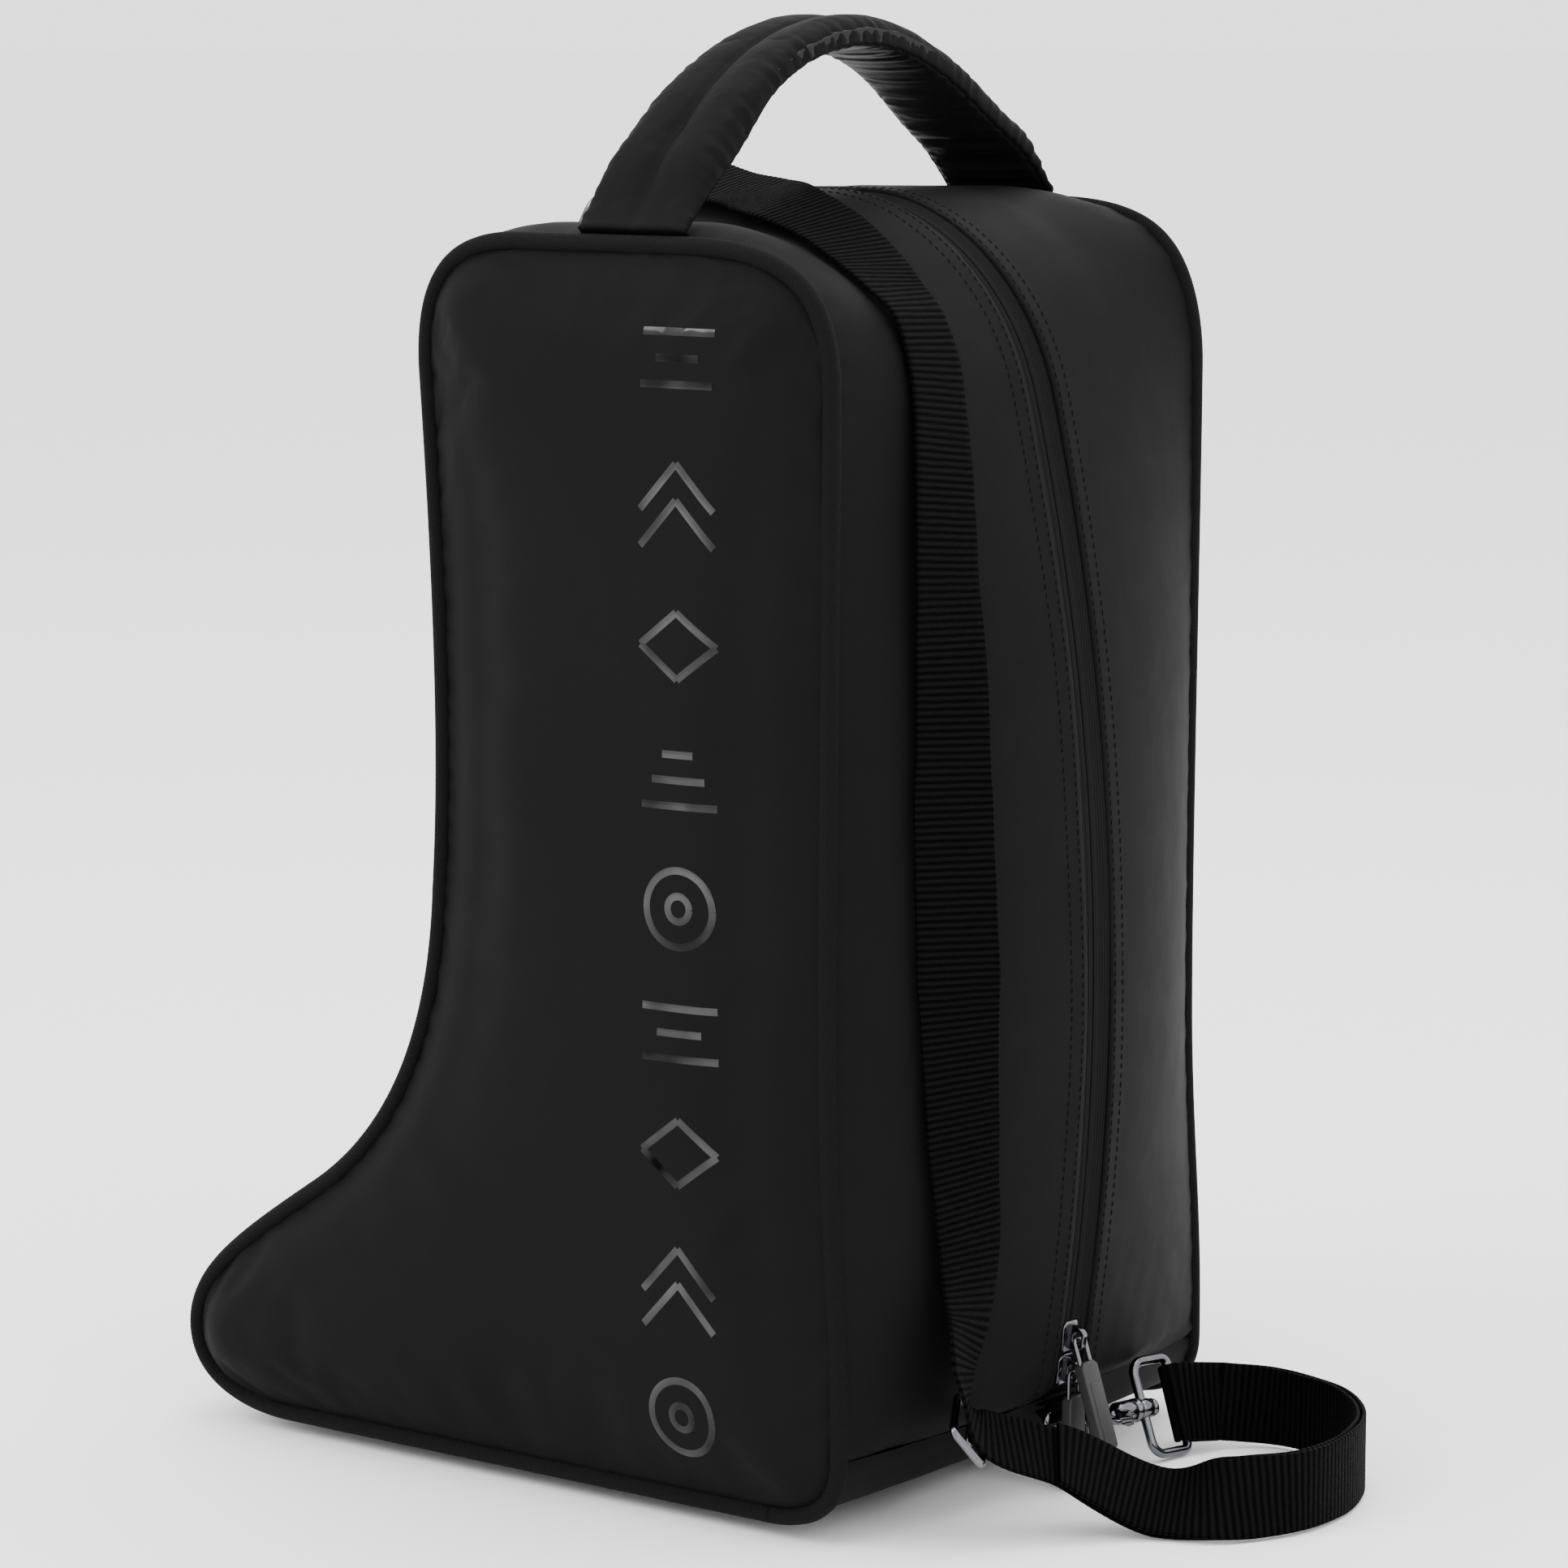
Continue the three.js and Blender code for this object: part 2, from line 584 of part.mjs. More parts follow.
function pullTab() {
  const shape = new THREE.Shape();
  const corner = 2;
  shape.moveTo(PULL.start, -PULL.half + corner);
  shape.lineTo(PULL.start + corner, -PULL.half);
  shape.lineTo(PULL.end - corner, -PULL.half);
  shape.quadraticCurveTo(PULL.end, -PULL.half, PULL.end, -PULL.half + corner);
  shape.lineTo(PULL.end, PULL.half - corner);
  shape.quadraticCurveTo(PULL.end, PULL.half, PULL.end - corner, PULL.half);
  shape.lineTo(PULL.start + corner, PULL.half);
  shape.lineTo(PULL.start, PULL.half - corner);
  return carve([plate(shape, PULL.thickness)], [wireLoop(linkPath(), LINK_WIRE + 0.3, 6)]);
}

// Sliders sit on the arc of the zip; pulls hang from their bridges.
const SLIDERS = {
  lower: { z: 48.5, lean: 0 },
  upper: { z: 62.5, lean: 18 },
};
for (const [name, { z, lean }] of Object.entries(SLIDERS)) {
  const at = zipPoint(z);
  const angle = zipAngle(z);
  const up = [-Math.sin(angle), 0, Math.cos(angle)];
  const slider = frameAt([at.x, 0, at.y], up, [0, 1, 0]);
  // local Z of this frame points inwards or outwards by the cross product: keep it outwards
  const outward = new THREE.Vector3(0, 0, 1).transformDirection(slider.matrix).x > 0;
  if (!outward) slider.rotateX(Math.PI);
  add("zip_slider_" + name, sliderBody(), gunmetal, slider);

  const tilt = THREE.MathUtils.degToRad(lean);
  const hinge = new THREE.Vector3(at.x, 0, at.y);
  hinge.x += HINGE_LIFT * Math.cos(angle);
  hinge.z += HINGE_LIFT * Math.sin(angle);
  const down = [Math.sin(tilt), 0, -Math.cos(tilt)];
  const pull = frameAt(hinge.toArray(), down, [0, 1, 0]);
  add("pull_link_" + name, wireLoop(linkPath(), LINK_WIRE, 6), gunmetal, pull);
  add("pull_tab_" + name, pullTab(), rubber, pull);
}

// The pocket's slider runs along X. Its ring stands out from the bridge and the tab hangs on it.
const POCKET_SLIDER_X = 126.3;
const RING = 6;
const pocketSlider = frameAt([POCKET_SLIDER_X, POCKET_FACE, POCKET_Z], [1, 0, 0], [0, 0, -1]);
add("pocket_slider", sliderBody(), gunmetal, pocketSlider);
const ringPath = new THREE.EllipseCurve(0, 0, RING, RING).getPoints(14).slice(0, -1);
const ringMesh = add("pocket_pull_ring", wireLoop(ringPath, LINK_WIRE, 6), gunmetal);
ringMesh.rotation.y = Math.PI / 2;
ringMesh.position.set(POCKET_SLIDER_X, POCKET_FACE + HINGE_LIFT + RING, POCKET_Z);
const pocketPull = frameAt(
  [POCKET_SLIDER_X, POCKET_FACE + HINGE_LIFT + RING, POCKET_Z - RING],
  [0, 0, -1],
  [1, 0, 0],
);
const pocketTabShape = new THREE.Shape();
pocketTabShape.moveTo(-3, -2.5);
pocketTabShape.lineTo(2, -PULL.half);
pocketTabShape.lineTo(43, -PULL.half);
pocketTabShape.quadraticCurveTo(45, -PULL.half, 45, -PULL.half + 2);
pocketTabShape.lineTo(45, PULL.half - 2);
pocketTabShape.quadraticCurveTo(45, PULL.half, 43, PULL.half);
pocketTabShape.lineTo(2, PULL.half);
pocketTabShape.lineTo(-3, 2.5);
const eyelet = new THREE.Path();
eyelet.absellipse(0.3, 0, 1.9, 1.6, 0, 2 * Math.PI);
pocketTabShape.holes.push(eyelet);
add("pocket_pull_tab", plate(pocketTabShape, 4), rubber, pocketPull);

// ---- D-rings, swivel hooks and the shoulder strap -------------------------------------------------

const RING_HALF = 14.75;
const RING_DEPTH = 23;

// bar: middle of the D-ring's straight bar; hang: direction the ring hangs; root: where its tab
// leaves the seam; wire: point of the ring that the hook holds; stud: the swivel's centre;
// eyeAcross: long direction of the eye; open: side of the hook that its gate is on.
const ANCHORS = {
  lower: {
    bar: [161.5, 8, 30],
    hang: [0.1, 0, -0.995],
    root: [153.8, 8, 31.4],
    wire: [162.3, 8 + RING_HALF, 22.6],
    toStud: [0.2, 0.978, -0.05],
    eyeAcross: [0.391, -0.168, -0.905],
    open: [1, 0, 0],
  },
  upper: {
    bar: [-73, 0, 495.3],
    hang: [0.5, 0, 0.866],
    root: [-67.3, 0, 490.2],
    wire: [-61.5, 0, 495.3 + 0.866 * RING_DEPTH],
    toStud: [0.893, -0.416, 0.169],
    eyeAcross: [0.422, 0.906, 0],
    open: [0, 0, 1],
  },
};
const HOOK = { bowX: 28.5, inner: 7.5, outer: 11, wireX: 32, plate: 5, pivot: [17.5, 9] };

function sector(inner, outer, startDeg, endDeg) {
  const rad = THREE.MathUtils.degToRad;
  const shape = new THREE.Shape();
  shape.absarc(0, 0, outer, rad(startDeg), rad(endDeg), false);
  shape.absarc(0, 0, inner, rad(endDeg), rad(startDeg), true);
  return shape;
}

function hookBody() {
  const bow = plate(sector(HOOK.inner, HOOK.outer, 165, 415), HOOK.plate, 14);
  bow.translate(HOOK.bowX, 0, 0);
  const barrel = rod(3.6, 14, 5);
  const neck = box(12, 19.5, -6, 6, -2.5, 2.5);
  const ear = box(14.5, 20, 4, 11.2, -2.5, 2.5);
  const [px, py] = HOOK.pivot;
  const pinHole = new THREE.CylinderGeometry(1.3, 1.3, 9, 10).rotateX(Math.PI / 2);
  pinHole.translate(px, py, 0);
  const slot = box(13.5, 40, 4.6, 13, -1.4, 1.4);
  return carve([bow, barrel, neck, ear], [slot, pinHole, rod(0, 10, 2.4, 12)]);
}

function hookGate() {
  const [px, py] = HOOK.pivot;
  const shape = new THREE.Shape();
  shape.moveTo(px, py + 1.9);
  shape.lineTo(24, py + 1.1);
  shape.lineTo(25, py + 3.4);
  shape.lineTo(27.5, py + 3.4);
  shape.lineTo(28.5, py + 0.9);
  shape.lineTo(33, py + 0.3);
  shape.lineTo(33, py - 2);
  shape.lineTo(px, py - 1.9);
  shape.absarc(px, py, 1.9, -Math.PI / 2, Math.PI / 2, true);
  const hole = new THREE.Path();
  hole.absellipse(px, py, 1.3, 1.3, 0, 2 * Math.PI);
  shape.holes.push(hole);
  return plate(shape, 2.2);
}

const EYE = { depth: 20, half: 19.5, wire: 2 };

function swivelEye() {
  const loop = wireLoop(roundedFrame(-EYE.depth, 0, EYE.half, 3, 5, 3), EYE.wire);
  const boss = rod(-3, 3, 4.2, 12);
  return carve([loop, boss], [rod(-9, 9, 2.4, 12)]);
}

for (const [place, a] of Object.entries(ANCHORS)) {
  const ring = frameAt(a.bar, a.hang, [0, 1, 0]);
  const dPath = roundedFrame(0, RING_DEPTH, RING_HALF, 2.5, 9, 3);
  add("d_ring_" + place, wireLoop(dPath, WIRE), gunmetal, ring);

  const out = new THREE.Vector3(...a.bar).sub(new THREE.Vector3(...a.root));
  const tab = frameAt(a.bar, out.clone().negate().toArray(), [0, 1, 0]);
  const teardrop = new THREE.Shape();
  const reach = out.length() - 0.8;
  teardrop.moveTo(reach, 1.5);
  teardrop.lineTo(3, 3);
  teardrop.absarc(0, 0, 3.9, Math.PI / 3, (5 * Math.PI) / 3, false);
  teardrop.lineTo(3, -3);
  teardrop.lineTo(reach, -1.5);
  const barHole = new THREE.Path();
  barHole.absellipse(0, 0, WIRE + 0.5, WIRE + 0.5, 0, 2 * Math.PI);
  teardrop.holes.push(barHole);
  add("d_ring_tab_" + place, plate(teardrop, 23).rotateX(Math.PI / 2), webbing, tab);

  const along = new THREE.Vector3(...a.toStud).normalize();
  const stud = new THREE.Vector3(...a.wire).addScaledVector(along, HOOK.wireX);
  const toRing = along.clone().negate().toArray();
  const hook = frameAt(stud.toArray(), toRing, a.open);
  add("hook_body_" + place, hookBody(), gunmetal, hook);
  add("hook_gate_" + place, hookGate(), gunmetal, hook);
  const pin = new THREE.CylinderGeometry(1, 1, 6.4, 10).rotateX(Math.PI / 2);
  add("hook_pin_" + place, pin.translate(HOOK.pivot[0], HOOK.pivot[1], 0), gunmetal, hook);
  add("swivel_stud_" + place, carve([rod(-4.4, 9, 2, 12), rod(-6.6, -3.4, 3.8, 6)]), gunmetal, hook);
  const eye = frameAt(stud.toArray(), toRing, a.eyeAcross);
  add("swivel_eye_" + place, swivelEye(), gunmetal, eye);
}

// Middle of the wire at the far end of an eye, where the strap goes round it.
function eyeBar({ wire, toStud }) {
  const along = new THREE.Vector3(...toStud).normalize();
  return new THREE.Vector3(...wire).addScaledVector(along, HOOK.wireX + EYE.depth);
}

// The strap's middle line and the direction across it, from the upper eye over the top, down the
// back and round the loop on the floor to the lower eye. Each row: x, y, z, then that direction.
const STRAP = [
  [0, -26, 525, 0.35, 0.92, 0.18],
  [20, -31, 520, 0.12, 0.95, 0.3],
  [38, -36, 518, 0.05, 0.95, 0.3],
  [63.5, -49, 514.5, 0.05, 0.94, 0.34],
  [89, -56, 506.5, 0, 0.95, 0.3],
  [111.5, -62, 495, 0, 0.97, 0.2],
  [127, -67, 485.5, 0, 0.99, 0.1],
  [139.5, -68, 475, 0, 1, 0],
  [148, -69, 457, 0.02, 1, 0],
  [152.5, -71, 439, 0.05, 1, 0],
  [156.5, -74, 418, 0.11, 0.99, 0],
  [162, -79, 376, 0.23, 0.97, 0],
  [166.5, -82, 332, 0.42, 0.9, 0],
  [170, -85.5, 285, 0.6, 0.8, 0],
  [174, -88, 231, 0.75, 0.62, 0],
  [172, -83, 191, 0.55, 0.83, 0],
  [170.5, -78, 150, 0.38, 0.92, -0.04],
  [170.5, -74, 112, 0.2, 0.97, -0.1],
  [171.5, -76, 88, -0.05, 0.98, -0.1],
  [175, -84, 66, -0.4, 0.88, 0.2],
  [181, -84, 46, -0.66, 0.6, 0.42],
  [203, -56, 30, -0.25, 0.88, 0.35],
  [231, -30, 11, -0.1, 0.83, 0.55],
  [258, -20, 15.4, -0.03, 0.4, 0.92],
  [274, 0, 16.8, 0, 0.05, 1],
  [276, 30, 16.8, 0, 0, 1],
  [266, 62, 16.8, 0, 0, 1],
  [247, 86, 16.8, 0, 0, 1],
  [222, 100, 16.8, 0, 0, 1],
  [200, 101, 17.2, -0.1, 0.05, 1],
  [184, 90, 19, -0.3, 0.1, 0.95],
];
const GLIDE_ROW = 20;
const WRAP = 3.8; // radius of the strap's middle line round an eye's wire

const spline = (points) => new THREE.CatmullRomCurve3(points, false, "centripetal");
const strapLine = spline(STRAP.map(([x, y, z]) => new THREE.Vector3(x, y, z)));
const strapAcross = spline(STRAP.map(([, , , x, y, z]) => new THREE.Vector3(x, y, z)));

function strapFrame(row) {
  const t = row / (STRAP.length - 1);
  const tangent = strapLine.getTangent(t);
  const across = strapAcross.getPoint(t);
  across.addScaledVector(tangent, -across.dot(tangent)).normalize();
  return { at: strapLine.getPoint(t), across, tangent };
}

// Frames round an eye's wire, from the side the strap comes in on to the other side.
function wrapFrames(centre, across, incoming) {
  const start = new THREE.Vector3().crossVectors(across, incoming).normalize();
  const axis = across.clone().multiplyScalar(-1);
  return evenly(0, 0.85 * Math.PI, 5).map((angle) => {
    const radial = start.clone().applyAxisAngle(axis, angle);
    return { at: centre.clone().addScaledVector(radial, WRAP), across: across.clone() };
  });
}

// A webbing solid through frames; lift(i) moves frame i off the middle line. Its upper face is
// split along the same diagonals as its lower one, so it stays as thick where it twists.
function ribbon(frames, lift = () => 0) {
  const rings = frames.map(({ at, across }, i) => {
    const next = frames[Math.min(i + 1, frames.length - 1)].at;
    const tangent = next.clone().sub(frames[Math.max(i - 1, 0)].at).normalize();
    const side = across.clone().addScaledVector(tangent, -across.dot(tangent)).normalize();
    const normal = new THREE.Vector3().crossVectors(tangent, side);
    const corner = (u, v) =>
      at
        .clone()
        .addScaledVector(side, (u * WEBBING) / 2)
        .addScaledVector(normal, lift(i) + (v * WEBBING_THICKNESS) / 2);
    return [corner(-1, -1), corner(1, -1), corner(1, 1), corner(-1, 1)];
  });
  return loft(rings, false, [2]);
}

const LAST = STRAP.length - 1;
const upperAcross = new THREE.Vector3(...ANCHORS.upper.eyeAcross);
const lowerAcross = new THREE.Vector3(...ANCHORS.lower.eyeAcross).normalize().negate();
const upperBar = eyeBar(ANCHORS.upper);
const lowerBar = eyeBar(ANCHORS.lower);
const leaving = strapLine.getPoint(0).sub(upperBar).normalize();
const arriving = lowerBar.clone().sub(strapLine.getPoint(1)).normalize();
const start = wrapFrames(upperBar, upperAcross, leaving.clone().negate()).reverse();
const end = wrapFrames(lowerBar, lowerAcross, arriving);
const main = evenly(0, LAST, 2 * LAST).map(strapFrame);
add("strap_webbing", ribbon([...start, ...main, ...end]), webbing);

const back = evenly(GLIDE_ROW + 1, LAST, 2 * (LAST - GLIDE_ROW - 1)).map(strapFrame);
const backEnd = lowerBar.clone().addScaledVector(arriving, -4);
back.push({ at: backEnd, across: lowerAcross });
const spread = (i) => LAYER_STEP + 1.2 * THREE.MathUtils.smoothstep(i, back.length - 4, back.length);
add("strap_return", ribbon(back, spread), webbing);

// The tri-glide lies against the strap where its second layer starts.
const glideFrame = strapFrame(GLIDE_ROW);
const glideOut = new THREE.Vector3().crossVectors(glideFrame.tangent, glideFrame.across);
const glideAt = glideFrame.at.addScaledVector(glideOut, -3.2);
const glide = frameAt(glideAt.toArray(), glideFrame.tangent.toArray(), glideFrame.across.toArray());
const glideLoop = wireLoop(roundedFrame(-9, 9, 18.5, 3, 3, 2), 1.6);
const glideBar = rod(-17.5, 17.5, 1.5, 8).rotateZ(Math.PI / 2);
add("tri_glide", carve([glideLoop, glideBar]), gunmetal, glide);

// The origin is under the middle of the bag's box, on the floor.
bag.position.set(...ORIGIN_SHIFT);

export default bag;
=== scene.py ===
import math

import bmesh
import bpy
import numpy as np
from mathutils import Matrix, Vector


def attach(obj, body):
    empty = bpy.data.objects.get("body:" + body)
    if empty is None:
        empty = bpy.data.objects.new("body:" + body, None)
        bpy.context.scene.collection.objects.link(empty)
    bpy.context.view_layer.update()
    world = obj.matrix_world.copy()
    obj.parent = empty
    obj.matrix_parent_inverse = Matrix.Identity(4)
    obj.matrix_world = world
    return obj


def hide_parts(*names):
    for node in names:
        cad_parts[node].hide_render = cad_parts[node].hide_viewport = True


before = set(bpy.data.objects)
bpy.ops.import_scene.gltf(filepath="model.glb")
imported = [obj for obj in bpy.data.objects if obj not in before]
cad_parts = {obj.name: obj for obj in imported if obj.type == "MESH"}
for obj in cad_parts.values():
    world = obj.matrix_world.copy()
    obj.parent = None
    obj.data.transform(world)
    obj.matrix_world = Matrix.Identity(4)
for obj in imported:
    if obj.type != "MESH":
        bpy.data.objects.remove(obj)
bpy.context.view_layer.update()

# All shapes below are drawn in millimetres in the drawing frame of the CAD, which is shifted a
# little from the row frame so that the row's origin is under the middle of the bag.
SHIFT = np.array([4.5, -6.0, 0.0])


def metres(points):
    return (np.asarray(points, float) + SHIFT) / 1000.0


# ---- camera --------------------------------------------------------------------------------

AZIMUTH = math.radians(36.83)
PITCH = math.radians(8.30)
TARGET = np.array([24.8, 0.0, 274.4])
DISTANCE = 2156.0
SENSOR_WIDTH = 36.0
LENS = 120.04

camera = bpy.data.objects.new("camera", bpy.data.cameras.new("camera"))
bpy.context.scene.collection.objects.link(camera)
level = math.cos(PITCH)
away = np.array([math.sin(AZIMUTH) * level, -math.cos(AZIMUTH) * level, math.sin(PITCH)])
camera.location = metres(TARGET + away * DISTANCE)
camera.rotation_euler = Vector(-away).to_track_quat("-Z", "Y").to_euler()
camera.data.sensor_width = SENSOR_WIDTH
camera.data.lens = LENS
camera.data.clip_end = 100.0
bpy.context.scene.camera = camera

# ---- mesh helpers ----------------------------------------------------------------------------


def link(name, mesh, materials, smooth=True):
    obj = bpy.data.objects.new(name, mesh)
    bpy.context.scene.collection.objects.link(obj)
    for m in materials if isinstance(materials, (list, tuple)) else [materials]:
        mesh.materials.append(m)
    mesh.polygons.foreach_set("use_smooth", [smooth] * len(mesh.polygons))
    return obj


def make_mesh(name, verts, faces, materials, uvs=None, smooth=True):
    """verts in drawing millimetres; uvs, one per vertex, in metres along and across the cloth."""
    mesh = bpy.data.meshes.new(name)
    mesh.from_pydata(metres(verts).tolist(), [], faces)
    if uvs is not None:
        layer = mesh.uv_layers.new(name="UVMap")
        index = np.zeros(len(mesh.loops), np.int32)
        mesh.loops.foreach_get("vertex_index", index)
        layer.data.foreach_set("uv", np.asarray(uvs, float)[index].ravel())
    mesh.update()
    return link(name, mesh, materials, smooth)


def grid_faces(rows, columns, closed_rows=False, closed_columns=False, base=0):
    faces = []
    for i in range(rows if closed_rows else rows - 1):
        a = base + i * columns
        b = base + ((i + 1) % rows) * columns
        for k in range(columns if closed_columns else columns - 1):
            n = (k + 1) % columns
            faces.append((a + k, a + n, b + n, b + k))
    return faces


def run_lengths(points):
    """Distance along a row of points, in metres."""
    steps = np.linalg.norm(np.diff(points, axis=0), axis=1)
    return np.concatenate([[0], np.cumsum(steps)]) / 1000.0


def facing(obj, outward):
    """Turns the faces over if they face away from the direction (or the centre) given."""
    mesh = obj.data
    normals = np.array([p.normal for p in mesh.polygons])
    centres = np.array([p.center for p in mesh.polygons]) * 1000 - SHIFT
    areas = np.array([p.area for p in mesh.polygons])
    if (outward(centres) * normals).sum(1) @ areas < 0:
        mesh.flip_normals()
    return obj


def grid_object(name, points, materials, closed_rows=False, closed_columns=False, uv=None):
    rows, columns = points.shape[:2]
    faces = grid_faces(rows, columns, closed_rows, closed_columns)
    if uv is None:
        along = run_lengths(points[:, columns // 2])
        across = run_lengths(points[rows // 2])
        uv = uv_grid(along, across)
    return make_mesh(name, points.reshape(-1, 3), faces, materials, uv.reshape(-1, 2))


def smooth_run(points, count):
    """A Catmull-Rom run through points (any number of columns), sampled evenly by length."""
    p = np.asarray(points, float)
    p = np.vstack([2 * p[0] - p[1], p, 2 * p[-1] - p[-2]])
    out = []
    for i in range(1, len(p) - 2):
        knots = [0.0]
        for k in range(3):
            step = np.linalg.norm((p[i + k] - p[i + k - 1])[:3]) ** 0.5
            knots.append(knots[-1] + max(step, 1e-6))
        t0, t1, t2, t3 = knots
        for t in np.linspace(t1, t2, 24, endpoint=False):
            a = [
                (p[i + k] * (t - knots[k]) + p[i + k - 1] * (knots[k + 1] - t))
                / (knots[k + 1] - knots[k])
                for k in range(3)
            ]
            b1 = (a[0] * (t2 - t) + a[1] * (t - t0)) / (t2 - t0)
            b2 = (a[1] * (t3 - t) + a[2] * (t - t1)) / (t3 - t1)
            out.append((b1 * (t2 - t) + b2 * (t - t1)) / (t2 - t1))
    out.append(p[-2])
    out = np.array(out)
    length = run_lengths(out[:, :3])
    even = np.linspace(0, length[-1], count)
    return np.stack([np.interp(even, length, out[:, k]) for k in range(out.shape[1])], 1)


def uv_grid(along, across):
    return np.stack(np.meshgrid(along, across, indexing="ij"), -1)


def away_from(*centre):
    return lambda points: points - np.array(centre)


def towards(*direction):
    return lambda points: np.broadcast_to(direction, points.shape)


def unit(v):
    v = np.asarray(v, float)
    return v / np.maximum(np.linalg.norm(v, axis=-1, keepdims=True), 1e-9)


def tangents(points, closed=False):
    if closed:
        return unit(np.roll(points, -1, 0) - np.roll(points, 1, 0))
    return unit(np.gradient(points, axis=0))


def sweep(points, sides, section, closed=False):
    """Rings round a run of points: sides are unit vectors across it, section is (a, b) pairs."""
    t = tangents(points, closed)
    s = unit(sides - (sides * t).sum(-1, keepdims=True) * t)
    n = np.cross(t, s)
    section = np.asarray(section, float)
    return (points[:, None] + section[None, :, :1] * s[:, None] + section[None, :, 1:] * n[:, None])


def circle(radius, count):
    a = np.linspace(0, 2 * math.pi, count, endpoint=False)
    return np.stack([np.cos(a) * radius, np.sin(a) * radius], 1)


def joined(name, parts, body, slot, *nodes):
    """Joins mesh objects into one piece that rides on a body and stands for CAD nodes."""
    bpy.ops.object.select_all(action="DESELECT")
    for part in parts:
        part.select_set(True)
    bpy.context.view_layer.objects.active = parts[0]
    if len(parts) > 1:
        bpy.ops.object.join()
    obj = parts[0]
    obj.name = name
    return placed(obj, body, slot, *nodes)


def placed(obj, body, slot, *nodes):
    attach(obj, body)
    if nodes:
        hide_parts(*nodes)
    return obj


PIN = "pinned"
CLOTH_FRAMES = 20


def swollen(points, pinned, outward, pressure=4.0, slack=0.01, cap=3.0, bending=0.4):
    """Lets a sewn sheet swell over its padding: a Cloth pass on a grid whose pinned points stay."""
    sheet = facing(grid_object("cloth_pass", points, []), outward)
    group = sheet.vertex_groups.new(name=PIN)
    group.add(np.flatnonzero(pinned.ravel()).tolist(), 1.0, "REPLACE")
    settings = sheet.modifiers.new("cloth", "CLOTH").settings
    settings.quality = 5
    settings.mass = 0.25
    settings.tension_stiffness = settings.compression_stiffness = 12.0
    settings.shear_stiffness = 6.0
    settings.bending_stiffness = bending
    settings.vertex_group_mass = PIN
    settings.shrink_min = -slack
    settings.use_pressure = True
    settings.uniform_pressure_force = pressure
    settings.effector_weights.gravity = 0.0
    for step in range(1, CLOTH_FRAMES + 1):
        bpy.context.scene.frame_set(step)
    result = sheet.evaluated_get(bpy.context.evaluated_depsgraph_get()).data
    ended = np.zeros(len(result.vertices) * 3)
    result.vertices.foreach_get("co", ended)
    bpy.context.scene.frame_set(1)
    bpy.data.objects.remove(sheet)
    shift = (ended.reshape(points.shape) * 1000 - SHIFT) - points
    size = np.maximum(np.linalg.norm(shift, axis=-1, keepdims=True), 1e-9)
    return points + shift * cap * np.tanh(size / cap) / size


def edges_of(shape, rows=1, columns=1):
    """Marks the border of a grid, so many rows and columns deep."""
    marked = np.zeros(shape, bool)
    marked[:rows] = marked[-rows:] = True
    marked[:, :columns] = marked[:, -columns:] = True
    return marked


# ---- materials -------------------------------------------------------------------------------


